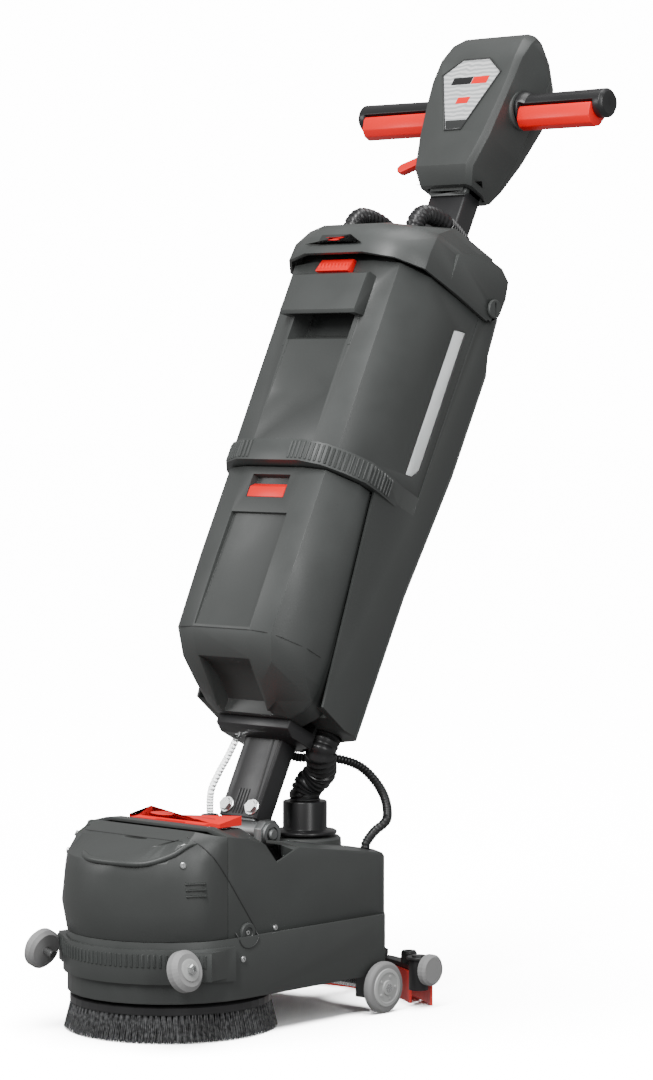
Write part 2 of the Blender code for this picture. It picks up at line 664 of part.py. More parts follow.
def make_shell():
    """Main moulding: rear spine with cheeks, and the collar's shelf between the tanks."""
    lower = [(SHELL_V0, 0.0090), (CLEAN_V0, SHELL_EDGE_LOW), (0.330, shell_edge(0.330)),
             (SHELF_V0 + 0.004, SHELL_EDGE_TOP)]
    shell = loft("body_shell", [spine_ring(v, edge) for v, edge in lower], "charcoal_plastic", COLUMN)
    upper = [SHELF_V0 + 0.002, 0.500, 0.640, 0.664, SHELL_V1]
    top_part = loft("spine_top", [spine_ring(v, SEAM_U + 0.0005) for v in upper], parent=COLUMN)
    front = TANK_FRONT - COLLAR_OUT - 0.004
    out = BODY_X + COLLAR_OUT - 0.002
    collar_outline = mirrored([(0.050, front), (0.079, front + 0.012), (0.099, front + 0.036),
                               (out, front + 0.062), (out, front + 0.086),
                               (BODY_X - 0.0002, SEAM_U - 0.030), (BODY_X - 0.0002, SHELF_REAR)])
    shelf = prism("collar_shelf", collar_outline, "Z", SHELF_V0, SHELF_V1 - GAP, parent=COLUMN)
    wall = SHELL_WALL
    low_room = loft("spine_room_low", [spine_ring(v, -0.20, wall) for v in (CLEAN_V0 - GAP, 0.330,
            SHELF_V0 + 0.001)], parent=COLUMN)
    high = [SHELF_V0 - 0.001, 0.500, 0.640, 0.664, SHELL_V1 - 0.012]
    high_room = loft("spine_room_high", [spine_ring(v, -0.02, wall) for v in high], parent=COLUMN)
    add(shell, top_part)
    cut(shell, low_room, high_room)
    add(shell, shelf)
    bore = prism("shell_tube_bore", round_box(TUBE_X + GAP, TUBE_U0 - GAP, TUBE_U1 + GAP, 0.004), "Z",
                 0.10, 0.80, parent=COLUMN)
    bay = box("battery_bay", (-BATTERY_X - GAP, TUBE_U1 + 0.004, BATTERY_V0 - GAP),
              (BATTERY_X + GAP, 0.12, BATTERY_V1 + GAP), parent=COLUMN)
    hose_hole = rod("vac_hose_hole", VAC_R + 0.001, (VAC_X, VAC_U, SHELL_V0 - 0.01),
                    (VAC_X, VAC_U, CLEAN_V0 + 0.003), parent=COLUMN)
    cable_hole = rod("conduit_hole", CONDUIT_R + 0.001, (CONDUIT_X0, CONDUIT_U0, SHELL_V0 - 0.01),
                     (CONDUIT_X0, CONDUIT_U0, CLEAN_V0 + 0.003), parent=COLUMN, sides=16)
    foot_room = box("shell_foot_room", (-0.0605, -0.2, SHELL_V0 - 0.01), (0.0605, 0.0085, CLEAN_V0),
                    parent=COLUMN)
    tank_room = box("shell_tank_foot_room", (-0.0950, -0.2, SHELL_V0 - 0.01),
                    (0.0950, TUBE_U0 - 0.0030, CLEAN_V0), parent=COLUMN)
    cut(shell, bore, bay, hose_hole, cable_hole, foot_room, tank_room)
    for side in (-1, 1):
        port = rod(f"top_port_{side}", TOP_HOSE_R + 0.001,
                   (side * TOP_HOSE_X, TOP_HOSE_U, SHELL_V1 - 0.02), (side * TOP_HOSE_X, TOP_HOSE_U,
                           SHELL_V1 + 0.01), parent=COLUMN)
        cut(shell, port)


def make_inside():
    """Battery, suction motor and water pump in the spine."""
    front = TUBE_U1 + 0.0045
    box("battery_pack", (-BATTERY_X, front, BATTERY_V0), (BATTERY_X, rear_at(BATTERY_V0), BATTERY_V1),
        "black_plastic", COLUMN)
    depth = rear_at(0.31) - SHELL_WALL - 0.001
    turned("suction_motor", [(0.0, front), (0.030, front), (0.048, front + 0.006), (0.048, depth),
                             (0.0, depth)],
           (0, 0, 0.360), "Y", "black_plastic", COLUMN, sides=32)
    middle = (front + rear_at(0.2) - SHELL_WALL) / 2
    turned("water_pump", [(0.0, 0.170), (0.0120, 0.170), (0.0120, 0.230), (0.008, 0.234), (0.008, 0.250),
                          (0.0, 0.250)],
           (-0.050, middle, 0), mat="black_plastic", parent=COLUMN, sides=24)


def make_waste_tank():
    """Upper tank, open at its top under the hood, with the carry handle on its front."""
    v0 = SHELF_V1
    channel = [(TUBE_X + 0.004, SEAM_U), (TUBE_X + 0.004, TUBE_U0 - 0.0035)]
    rings = []
    for v, front, half_x in ((v0, TANK_FRONT + 0.0035, BODY_X - 0.0008), (TANK_TOP, TANK_FRONT, BODY_X)):
        rings.append(flat(mirrored(body_section(front, half_x, SEAM_U) + channel), v))
    tank = loft("waste_tank", rings, "charcoal_plastic", COLUMN)
    wall = TANK_WALL

    def inside(out):
        """Outline set in from the tank's wall."""
        return mirrored([(0.048, TANK_FRONT + 0.0085 - out),
                         (BODY_X - 0.0215 + out * 0.7, TANK_FRONT + 0.0145 - out * 0.7),
                         (BODY_X - 0.0070 + out, TANK_FRONT + 0.047), (BODY_X - 0.0070 + out,
                                 SEAM_U - wall + out * 0.3),
                         (TUBE_X + 0.004 + wall - out * 0.3, SEAM_U - wall + out * 0.3),
                         (TUBE_X + 0.004 + wall - out * 0.3, TUBE_U0 - 0.0035 - wall + out * 0.3)])

    room = prism("waste_room", inside(0.0), "Z", v0 + 0.004, TANK_TOP + 0.03, parent=COLUMN)
    cut(tank, room)
    block_outline = [(TANK_FRONT + 0.003, HANDLE_V0 + 0.004), (HANDLE_FRONT + 0.003, HANDLE_V0),
                     (HANDLE_FRONT, HANDLE_V0 + 0.004),
                     (HANDLE_FRONT + 0.001, HANDLE_V1 - 0.004), (HANDLE_FRONT + 0.006,
                             HANDLE_V1), (TANK_FRONT + 0.003, HANDLE_V1)]
    block = prism("handle_block", block_outline, "X", -HANDLE_X, HANDLE_X, parent=COLUMN)
    pocket_wall = prism("pocket_wall", mirrored([(0.056, TANK_FRONT + 0.002),
                                                 (0.056, TANK_FRONT + 0.036)]), "Z",
                        HANDLE_V0 - 0.036, HANDLE_V1 - 0.004, parent=COLUMN)
    add(tank, pocket_wall, block)
    pocket = prism("finger_pocket", [(HANDLE_FRONT + 0.006, HANDLE_V0 - 0.001),
                                     (HANDLE_FRONT + 0.006, HANDLE_V1 - 0.010),
                                     (TANK_FRONT + 0.030, HANDLE_V1 - 0.010), (TANK_FRONT + 0.030,
                                             HANDLE_V0 - 0.010),
                                     (TANK_FRONT - 0.001, HANDLE_V0 - 0.030), (TANK_FRONT - 0.03,
                                             HANDLE_V0 - 0.030),
                                     (TANK_FRONT - 0.03,
                                      HANDLE_V0 - 0.001)], "X", -0.050, 0.050, parent=COLUMN)
    panel = box("front_panel_recess", (-0.048, TANK_FRONT - 0.01, v0 + 0.001),
                (0.048, TANK_FRONT + 0.0025, HANDLE_V0 - 0.020), parent=COLUMN)
    window = prism("window_slot", WINDOW_CUT, "X", BODY_X - 0.0045, BODY_X + 0.01, parent=COLUMN)
    cut(tank, pocket, panel, window)
    strip = prism("level_window", WINDOW, "X", BODY_X - 0.0042, BODY_X - 0.0005, "clear_plastic", COLUMN)
    return tank, strip


def make_waste_latch():
    """Red thumb latch over the carry handle."""
    outline = [(TANK_FRONT - GAP, LATCH_V0), (HANDLE_FRONT + 0.004, LATCH_V0),
               (HANDLE_FRONT + 0.005, LATCH_V0 + 0.004),
               (TANK_FRONT - 0.006, LATCH_V1), (TANK_FRONT - GAP, LATCH_V1)]
    prism("waste_tank_latch", outline, "X", -0.0300, 0.0240, "red_plastic", COLUMN)


def make_hood():
    """Hood over the waste tank: a helmet whose arms reach back to the pivot screws."""
    x, front = HOOD_X, HOOD_FRONT
    levels = [(HOOD_V0, 0.0, 0.0), (0.7180, 0.001, 0.001), (0.7420, 0.014, 0.006), (0.7540, 0.034, 0.016),
              (0.7710, 0.072, 0.022), (0.7820, 0.100, 0.028)]
    rings = []
    for v, back_off, side_off in levels:
        rings.append(flat(mirrored([(0.048 - side_off * 0.4, front + back_off),
                                    (x - 0.025 - side_off, front + 0.016 + back_off * 0.85),
                                    (x - side_off, front + 0.048 + back_off * 0.55), (x - side_off,
                                            0.020)]), v))
    hood = loft("tank_hood", rings, "charcoal_plastic", COLUMN, smooth=20)
    wall = HOOD_WALL
    inner = []
    for v, back_off, side_off in [(HOOD_V0 - 0.01, 0.0, 0.0)] + levels[1:-1] + [(0.7780, 0.097, 0.028)]:
        drop = 0.0 if v < 0.73 else 0.0025
        inner.append(flat(mirrored([(0.046 - side_off * 0.4, front + back_off + wall * 1.3),
                                    (x - 0.0265 - side_off, front + 0.016 + wall + back_off * 0.85),
                                    (x - side_off - wall,
                                     front + 0.049 + back_off * 0.55), (x - side_off - wall,
                                             0.030)]), v - drop))
    room = loft("hood_room", inner, parent=COLUMN)
    notch = box("hood_notch", (-0.0370, -0.095, 0.65), (0.0370, 0.10, 0.85), parent=COLUMN)
    gap = box("hood_gap", (-0.0820, -0.060, 0.65), (0.0820, 0.10, 0.85), parent=COLUMN)
    cut(hood, room, notch, gap)
    for side in (-1, 1):
        x_port = side * TOP_HOSE_X * 0.94
        cut(hood, rod(f"hose_port_{side}", TOP_HOSE_R + 0.0015, (x_port, -0.0985, 0.70),
                      (x_port, -0.0985, 0.85), parent=COLUMN))
    arms = []
    for side, name in ((1, "left"), (-1, "right")):
        x0, x1 = sorted((side * (BODY_X + 0.0015), side * (x - 0.0004)))
        u, v = HOOD_PIVOT
        outline = [(-0.070, HOOD_V0 + 0.0005), (u - 0.004, v - 0.0185), (u + 0.008, v - 0.0150),
                   (u + 0.0155, v - 0.002),
                   (u + 0.0170, v + 0.022), (u + 0.0120, v + 0.044), (u - 0.006, v + 0.053), (-0.030,
                           v + 0.052), (-0.070, v + 0.030)]
        arm = prism(f"hood_arm_{name}", outline, "X", x0, x1, parent=COLUMN)
        arms.append(arm)
    trim = box("arm_trim", (-0.09, 0.0160, 0.65), (0.09, 0.10, 0.85), parent=COLUMN)
    add(hood, *arms)
    bore = rod("hood_bore", SCREW_R + GAP, (-0.13, *HOOD_PIVOT), (0.13, *HOOD_PIVOT), parent=COLUMN,
               sides=20)
    cut(hood, trim, bore)
    for side, name in ((1, "left"), (-1, "right")):
        hole = rod(f"hood_screw_hole_{name}", SCREW_R + GAP, (side * 0.08, *HOOD_PIVOT),
                   (side * 0.13, *HOOD_PIVOT), parent=COLUMN, sides=20)
        cut(bpy.data.objects["body_shell"], hole)
        head = turned(f"hood_screw_{name}", [(0.0, side * (x + GAP)), (0.0098, side * (x + GAP)),
                                             (0.0092, side * (x + 0.0025)), (0.0, side * (x + 0.0025))],
                      (0, *HOOD_PIVOT), "X", "charcoal_plastic", COLUMN, sides=24)
        add(head, rod(f"hood_screw_shank_{name}", SCREW_R, (side * (BODY_X - 0.003), *HOOD_PIVOT),
                      (side * (x + 0.001), *HOOD_PIVOT), parent=COLUMN, sides=20))


def make_clean_tank():
    """Lower tank with its cup foot, filler neck and front latch."""
    half = BODY_X - CLEAN_INSET
    rows = [(FOOT_V0, -0.060, 0.062), (0.1440, -0.073, 0.080), (0.1560, -0.090, 0.091),
            (0.1760, -0.1170, half - 0.006), (0.2050, -0.1370, half - 0.002),
            (0.300, -0.1395, half), (SHELF_V0 - 0.002, -0.1405, half)]
    rings = []
    for v, front, x in rows:
        edge = shell_edge(v) - 0.0035
        slim = min(x, BODY_X - SHELL_WALL - 0.0025)
        rings.append(flat(mirrored([(min(0.048, x - 0.020), front), (x - 0.022, front + 0.006),
                                    (x, min(front + 0.046, edge - 0.002)), (x, edge),
                                    (slim - 0.0005, edge + 0.0005), (slim - 0.0005,
                                            TUBE_U0 - 0.0035)]), v))
    tank = loft("clean_tank", rings, "charcoal_plastic", COLUMN)
    room = prism("clean_room", mirrored([(0.046, -0.126), (0.072, -0.116), (0.0905, -0.088),
                                         (0.0905, -0.019)]), "Z", 0.206, SHELF_V0 - 0.007, parent=COLUMN)
    neck = rod("clean_neck", 0.018, (0.045, -0.060, 0.38), (0.045, -0.060, SHELF_V0 + 0.02),
               parent=COLUMN)
    grip = prism("cup_opening", [(-0.17, 0.1760), (-0.098, 0.1760), (-0.074, 0.1680), (-0.046, 0.1500),
                                 (-0.046, 0.1200), (-0.17, 0.1200)], "X", -0.042, 0.042, parent=COLUMN)
    panel = box("clean_panel_recess", (-0.046, -0.20, 0.209), (0.046, -0.1345, 0.356), parent=COLUMN)
    seat = box("clean_latch_seat", (-0.0310, -0.20, 0.3760), (0.0310, -0.1300, 0.4060), parent=COLUMN)
    cut(tank, room, neck, grip, panel, seat)
    prism("clean_tank_latch", [(-0.1303, 0.3763), (-0.1400, 0.3763), (-0.1400, 0.3900), (-0.1340, 0.3960),
                               (-0.1303, 0.3960)], "X", -0.0300, 0.0300,
          "red_plastic", COLUMN)


def make_bracket():
    """Clamp block on the tube that the clean tank's foot stands on."""
    outline = [(-0.036, FOOT_V0 - GAP), (0.0080, FOOT_V0 - GAP), (0.0080, SHELL_V0 - GAP),
               (0.040, SHELL_V0 - GAP), (0.040, 0.126), (0.028, 0.115), (-0.024, 0.115), (-0.036, 0.122)]
    bracket = prism("bottom_bracket", outline, "X", -0.0600, 0.0600, "black_plastic", COLUMN)
    bore = prism("bracket_bore", round_box(TUBE_X + GAP, TUBE_U0 - GAP, TUBE_U1 + GAP, 0.004), "Z", 0.09,
                 0.20, parent=COLUMN)
    hose_way = rod("bracket_hose_way", VAC_R + 0.003, (VAC_X, VAC_U, 0.09), (VAC_X, VAC_U, 0.20),
                   parent=COLUMN)
    cut(bracket, bore, hose_way)


def to_world(x, u, v):
    """A point of the column's frame in the chassis frame."""
    return (x, PIN_Y + u * math.cos(LEAN) + v * math.sin(LEAN),
            PIN_Z + v * math.cos(LEAN) - u * math.sin(LEAN))


def make_hoses():
    """Suction hose, cable conduit and water tube at the tilt joint, and the two hoses over the hood."""
    turned("hose_turret", [(0.0, TURRET_Z0), (TURRET_R, TURRET_Z0), (TURRET_R, 0.2080), (0.0390, 0.2080),
                           (0.0390, 0.2120),
                           (TURRET_R, 0.2140), (TURRET_R, 0.2480), (0.0, 0.2480)], (TURRET_X, TURRET_Y,
                                   0), mat="black_plastic")
    hose("vac_hose", [(TURRET_X, TURRET_Y, 0.2490), (TURRET_X, TURRET_Y, 0.2530),
                      (TURRET_X, TURRET_Y, 0.2570), (TURRET_X + 0.007, TURRET_Y + 0.002, 0.2700),
                      (0.040, 0.2160, 0.2850), to_world(VAC_X, VAC_U, 0.1200), to_world(VAC_X, VAC_U,
                              SHELL_V0 - 0.0005)],
         VAC_R, "black_plastic", steps=3)
    start = to_world(CONDUIT_X0, CONDUIT_U0, SHELL_V0 - 0.0004)
    hose("cable_conduit", [start, to_world(CONDUIT_X0, CONDUIT_U0 + 0.001, SHELL_V0 - 0.008),
                           (-0.026, 0.240, 0.2960), (0.004, 0.270, 0.2950),
                           (0.040, 0.288, 0.2840), (0.075, 0.288, 0.2560), (CONDUIT_X, 0.271,
                                   0.2280), (CONDUIT_X + 0.001, 0.247, 0.2140),
                           (CONDUIT_X, CONDUIT_Y, deck_z(CONDUIT_Y) + 0.006), (CONDUIT_X, CONDUIT_Y,
                                   deck_z(CONDUIT_Y) - 0.004)],
         CONDUIT_R, "black_plastic", sides_half=2)
    tube_top = to_world(-0.050, -0.004, 0.113)
    hose("water_tube", [tube_top, (-0.056, 0.152, 0.300), (-0.061, 0.142, 0.281), (-0.0665, 0.134, 0.258),
                        (-0.0670, 0.133, 0.226),
                        (-0.0670, 0.133, deck_z(0.133) + 0.006)], 0.0045, "clear_plastic", sides_half=2)
    for side, name in ((1, "left"), (-1, "right")):
        x = side * TOP_HOSE_X
        hose(f"top_hose_{name}", [(x * 0.94, -0.0990, 0.7560), (x * 0.94, -0.0985, 0.7760),
                                  (x * 0.93, -0.0870, 0.7900), (x * 0.92, -0.0520, 0.7970),
                                  (x * 0.92, -0.0100, 0.7900), (x * 0.95, 0.0160, 0.7720), (x * 0.99,
                                          0.0340, 0.7450), (x, TOP_HOSE_U, SHELL_V1 - 0.006)],
             TOP_HOSE_R, "black_plastic", COLUMN, steps=3)


# ---------------------------------------------------------------- head
def head_ring(v, x, u0, u1, corner):
    """Rounded outline of the head at one height."""
    rear = min(0.020, (u1 - u0) * 0.3)
    return flat(mirrored([(x - corner, u0), (x, u0 + corner), (x * 0.97, u1 - rear),
                          (x * 0.88, u1 - rear * 0.25), (x * 0.6, u1)]), v)


def make_head():
    """Control head on the column's top: front housing, rear cover and label."""
    head = loft("head_housing", [head_ring(*row) for row in HEAD_ROWS], "charcoal_plastic", COLUMN,
                smooth=40)
    behind = box("head_behind", (-0.1, HEAD_SPLIT, 0.8), (0.1, 0.2, 1.2), parent=COLUMN)
    socket = prism("head_socket", round_box(TUBE_X + GAP, TUBE_U0 - GAP, TUBE_U1 + GAP, 0.004), "Z", 0.8,
                   TUBE_V1 + GAP, parent=COLUMN)
    mouth = prism("head_mouth", round_box(TUBE_X + 0.0035, TUBE_U0 - 0.005, TUBE_U1 + 0.005, 0.004), "Z",
                  0.8, 0.880, parent=COLUMN)
    room = box("head_room", (-0.040, TUBE_U0 - 0.018, TUBE_V1 + 0.006), (0.040, 0.10, 1.060),
               parent=COLUMN)
    label_seat = prism("label_seat", LABEL_OUTLINE, "Y", HEAD_FRONT - 0.01, HEAD_FRONT + 0.0014,
                       parent=COLUMN)
    slot = box("lever_slot", (-0.10, LEVER_U - 0.0055, LEVER_V - 0.021),
               (-0.0425, LEVER_U + 0.0055, LEVER_V + 0.012), parent=COLUMN)
    cut(head, behind, socket, mouth, room, label_seat, slot)
    back = loft("head_rear_cover", [head_ring(*row) for row in HEAD_ROWS], "charcoal_plastic", COLUMN,
                smooth=40)
    before = box("head_before", (-0.1, -0.2, 0.8), (0.1, HEAD_SPLIT + GAP, 1.2), parent=COLUMN)
    well = rod("button_well", 0.0105 + GAP, (0, 0.0500, BUTTON_V), (0, 0.0900, BUTTON_V), parent=COLUMN)
    cut(back, before, well)
    rod("power_button", 0.0105, (0, 0.0540, BUTTON_V), (0, 0.0640, BUTTON_V), "red_plastic", COLUMN)
    scale = 1 - GAP / 0.02
    prism("label_plate", [(x * scale, LABEL_MID + (v - LABEL_MID) * scale) for x, v in LABEL_OUTLINE],
          "Y",
          HEAD_FRONT + 0.0001, HEAD_FRONT + 0.0011, "silver_label", COLUMN)


def make_grips():
    """Handle bars with a squeeze trigger under each."""
    for side, name in ((1, "left"), (-1, "right")):
        x0, x1 = GRIP_X0 * side, GRIP_X1 * side
        profile = [(0.0, x0), (GRIP_R + 0.004, x0), (GRIP_R + 0.002, x0 + side * 0.008),
                   (GRIP_R - 0.001, x0 + side * 0.012),
                   (GRIP_R, x1 - side * 0.004), (GRIP_R - 0.004, x1), (0.0, x1)]
        grip = turned(f"grip_{name}", profile, (0, GRIP_U, GRIP_V), "X", "black_plastic", COLUMN,
                      sides=28)
        cx0, cx1 = sorted((side * (TRIGGER_X0 - 0.001), side * (TRIGGER_X1 + 0.001)))
        room = box(f"trigger_room_{name}", (cx0, GRIP_U - 0.03, GRIP_V - 0.05),
                   (cx1, GRIP_U + 0.03, GRIP_V - 0.0035), parent=COLUMN)
        cut(grip, room)
        tx0, tx1 = sorted((side * TRIGGER_X0, side * TRIGGER_X1))
        outline = [(0.0150, -0.0065), (0.0165, -0.0120), (0.0120, -0.0250), (0.0040, -0.0310),
                   (-0.0060, -0.0310),
                   (-0.0140, -0.0250), (-0.0175, -0.0120), (-0.0165, -0.0065)]
        prism(f"trigger_{name}", [(GRIP_U + u, GRIP_V + v) for u, v in outline], "X", tx0, tx1,
              "red_plastic", COLUMN)


def make_lever():
    """Red release lever on the right side of the head."""
    outline = [(-0.0450, LEVER_V + 0.0080), (-0.0550, LEVER_V + 0.0055), (-0.0835, LEVER_V - 0.0055),
               (-0.0880, LEVER_V - 0.0105),
               (-0.0855, LEVER_V - 0.0165), (-0.0790, LEVER_V - 0.0175), (-0.0550,
                       LEVER_V - 0.0075), (-0.0450, LEVER_V - 0.0050)]
    prism("release_lever", outline, "Y", LEVER_U - 0.0050, LEVER_U + 0.0050, "red_plastic", COLUMN)


# ---------------------------------------------------------------- squeegee and pedal
def make_pedal():
    """Red foot pedal on the deck, which lets the brush go."""
    y0, y1 = PEDAL_Y0, PEDAL_Y1
    low = [deck_z(y) + PEDAL_LIFT for y in (y0, y1)]
    side = [(y0, low[0]), (y1, low[1]), (y1, low[1] + PEDAL_T1), (y0, low[0] + PEDAL_T0)]
    prism("release_pedal", side, "X", -0.0700, 0.0700, "red_plastic")


def make_squeegee():
    """Curved squeegee behind the wheels: arm, holder, two blades and end wheels."""
    centre = (0, BLADE_Y - BLADE_R)
    half = math.degrees(math.asin(BLADE_X / BLADE_R))
    r_mid = BLADE_R
    holder = prism("squeegee_holder", arc_outline(r_mid - HOLDER_W / 2, r_mid + HOLDER_W / 2, 90 - half,
                                                  90 + half, 20, centre), "Z",
                   HOLDER_Z0, HOLDER_Z1, "black_plastic")
    bosses = []
    for side in (-1, 1):
        bosses.append(turned(f"end_boss_{side}", [(0.0, 0.020), (0.012, 0.020), (0.012, 0.058),
                                                  (0.0, 0.058)],
                             (side * 0.1300, END_Y, 0), sides=20))
    add(holder, *bosses)
    spout = turned("holder_spout", [(0.0, HOLDER_Z1 - 0.004), (0.0190, HOLDER_Z1 - 0.004),
                                    (0.0170, 0.0640), (0.0, 0.0640)],
                   (0, BLADE_Y, 0), sides=20)
    add(holder, spout)
    for side in (-1, 1):
        cut(holder, rod(f"end_axle_hole_{side}", 0.0045, (side * 0.12, END_Y, SQ_WHEEL_Z),
                        (side * 0.16, END_Y, SQ_WHEEL_Z), sides=16))
    for name, offset, low in (("front", -1, 0.0), ("rear", 1, 0.0)):
        r0 = r_mid + offset * (HOLDER_W / 2 + GAP) - (BLADE_T if offset < 0 else 0)
        span = half - (6.0 if offset < 0 else 0.0)
        prism(f"squeegee_blade_{name}", arc_outline(r0, r0 + BLADE_T, 90 - span, 90 + span, 20, centre),
              "Z", low, HOLDER_Z1 - 0.006,
              "blade_rubber")
    arm = prism("squeegee_arm", [(SQ_HINGE_Y - 0.008, SQ_HINGE_Z - 0.010),
                                 (SQ_HINGE_Y + 0.004, SQ_HINGE_Z - 0.014), (0.3225, 0.0500),
                                 (0.3225, HOLDER_Z1 + GAP), (BLADE_Y + 0.006,
                                         HOLDER_Z1 + GAP), (BLADE_Y + 0.006, 0.0520),
                                 (0.3300, 0.0600), (SQ_HINGE_Y + 0.008,
                                                    SQ_HINGE_Z + 0.008), (SQ_HINGE_Y - 0.006,
                                                            SQ_HINGE_Z + 0.008)],
                "X", -0.0300, 0.0300, "black_plastic")
    gap = box("arm_gap", (-0.0210, SQ_HINGE_Y + 0.018, 0.02), (0.0210, 0.40, 0.12))
    cut(arm, gap)
    return arm


def make_squeegee_wheels():
    """Small wall wheels at the squeegee's ends."""
    for side, name in ((1, "left"), (-1, "right")):
        x0 = 0.1430
        profile = [(0.0, x0 - 0.0160), (0.0042, x0 - 0.0160), (0.0042, x0), (SQ_WHEEL_R - 0.002, x0),
                   (SQ_WHEEL_R, x0 + 0.002),
                   (SQ_WHEEL_R, x0 + 0.009), (SQ_WHEEL_R - 0.003, x0 + 0.012), (0.0, x0 + 0.012)]
        turned(f"squeegee_wheel_{name}", [(r, side * h) for r, h in profile], (0, END_Y, SQ_WHEEL_Z), "X",
               "grey_tyre", sides=24)


def make_squeegee_hose():
    """Suction hose from the squeegee's spout up into the rear of the deck cover."""
    hose("squeegee_hose", [(0, BLADE_Y, 0.0640 + GAP), (0, BLADE_Y, 0.0660), (0, BLADE_Y, 0.0700),
                           (0, BLADE_Y + 0.001, 0.084), (0, BLADE_Y - 0.008, 0.108), (0, BLADE_Y - 0.036,
                                   0.134),
                           (0, COVER_REAR + 0.030, 0.146), (0, COVER_REAR + 0.006, 0.147), (0,
                                   COVER_REAR - 0.004, 0.147)],
         0.0160, "black_plastic", steps=3)


make_brush()
make_drive()
make_skirt()
make_frame()
make_cover()
make_front_cover()
make_bumper()
make_rollers()
make_wheels()
make_pivot()
make_column()
make_shell()
make_inside()
make_waste_tank()
make_waste_latch()
make_hood()
make_clean_tank()
make_bracket()
make_hoses()
make_head()
make_grips()
make_lever()
make_pedal()
make_squeegee()
make_squeegee_wheels()
make_squeegee_hose()

# ---------------------------------------------------------------- origins of the moving pieces
ORIGINS = {
    "brush_block": (0, 0, 0.0300),
    "brush_bristles": (0, 0, 0.0300),
    "brush_spindle": (0, 0, 0.0300),
    "rear_wheel_left": (WHEEL_OUT - WHEEL_W / 2, WHEEL_Y, AXLE_Z),
    "rear_wheel_right": (-WHEEL_OUT + WHEEL_W / 2, WHEEL_Y, AXLE_Z),
    "release_pedal": (0, PEDAL_Y0, deck_z(PEDAL_Y0) + PEDAL_LIFT),
    "squeegee_arm": (0, SQ_HINGE_Y, SQ_HINGE_Z),
    "squeegee_holder": (0, SQ_HINGE_Y, SQ_HINGE_Z),
    "squeegee_blade_front": (0, SQ_HINGE_Y, SQ_HINGE_Z),
    "squeegee_blade_rear": (0, SQ_HINGE_Y, SQ_HINGE_Z),
    "squeegee_wheel_left": (0.1490, END_Y, SQ_WHEEL_Z),
    "squeegee_wheel_right": (-0.1490, END_Y, SQ_WHEEL_Z),
    "tank_hood": (0, *HOOD_PIVOT),
    "waste_tank_latch": (0, -0.1453, LATCH_V0),
    "clean_tank_latch": (0, -0.1303, 0.3960),
    "trigger_left": (0, GRIP_U + 0.0155, GRIP_V - 0.0080),
    "trigger_right": (0, GRIP_U + 0.0155, GRIP_V - 0.0080),
    "release_lever": (-0.0445, LEVER_U, LEVER_V),
    "power_button": (0, 0.0590, BUTTON_V),
}
for name, point in ORIGINS.items():
    move_origin(bpy.data.objects[name], point)
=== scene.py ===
# %% [markdown]
# # An upright floor scrubber
# The machine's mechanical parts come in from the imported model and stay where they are. This
# lesson gives them rounded edges, real finishes and the small moulded details that the plain
# solids leave out: bristles, ribbed hoses, ribs, screws, recesses and rims.

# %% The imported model
import json
import math

import bpy
from mathutils import Matrix, Vector
from mathutils.bvhtree import BVHTree

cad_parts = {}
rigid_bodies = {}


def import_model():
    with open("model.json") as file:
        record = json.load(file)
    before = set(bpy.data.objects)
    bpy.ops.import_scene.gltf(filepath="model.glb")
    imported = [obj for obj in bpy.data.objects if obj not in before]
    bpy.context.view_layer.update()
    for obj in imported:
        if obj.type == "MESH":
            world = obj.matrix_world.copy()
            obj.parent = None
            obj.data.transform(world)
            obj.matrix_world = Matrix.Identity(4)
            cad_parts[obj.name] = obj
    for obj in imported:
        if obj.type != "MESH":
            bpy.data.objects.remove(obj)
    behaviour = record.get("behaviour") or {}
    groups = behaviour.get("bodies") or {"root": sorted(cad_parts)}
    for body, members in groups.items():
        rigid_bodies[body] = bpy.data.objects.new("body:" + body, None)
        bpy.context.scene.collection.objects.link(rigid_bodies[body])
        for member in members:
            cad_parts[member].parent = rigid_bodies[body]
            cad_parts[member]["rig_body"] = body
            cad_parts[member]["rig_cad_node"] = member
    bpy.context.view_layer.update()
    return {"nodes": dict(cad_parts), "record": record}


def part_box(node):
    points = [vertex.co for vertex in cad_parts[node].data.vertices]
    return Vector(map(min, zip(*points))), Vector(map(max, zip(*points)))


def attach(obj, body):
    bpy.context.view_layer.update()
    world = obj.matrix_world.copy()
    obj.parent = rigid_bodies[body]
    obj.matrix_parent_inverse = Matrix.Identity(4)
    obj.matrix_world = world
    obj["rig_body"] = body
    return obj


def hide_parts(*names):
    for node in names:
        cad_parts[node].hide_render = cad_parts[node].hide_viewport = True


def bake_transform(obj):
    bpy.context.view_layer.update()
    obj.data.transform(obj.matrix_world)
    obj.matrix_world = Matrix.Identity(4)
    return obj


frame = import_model()
node_slot = {part["node"]: part["material_slot"] for part in frame["record"]["subparts"]}

# %% [markdown]
# Two frames make the sizes easy to read. The base is measured from the brush's axis on the
# floor. The column leans back by about 27 degrees, so its pieces are drawn upright, with u
# running rearward and v up the column, and are tipped into place as the last step.

# %% The two working frames
BRUSH_Y = -0.2541
PIN = (0.0, 0.1135, 0.2190)
LEAN = math.radians(26.9)
BASE = Matrix.Translation((0, BRUSH_Y, 0))
COLUMN = BASE @ Matrix.Translation(PIN) @ Matrix.Rotation(-LEAN, 4, "X")


def only(obj):
    """Select one object and nothing else."""
    bpy.ops.object.select_all(action="DESELECT")
    obj.select_set(True)
    bpy.context.view_layer.objects.active = obj


def edit(obj, pick="SELECT"):
    """Open an object in edit mode with all or none of it selected."""
    only(obj)
    bpy.ops.object.mode_set(mode="EDIT")
    bpy.ops.mesh.select_all(action=pick)


def leave():
    """Back to object mode."""
    bpy.ops.object.mode_set(mode="OBJECT")


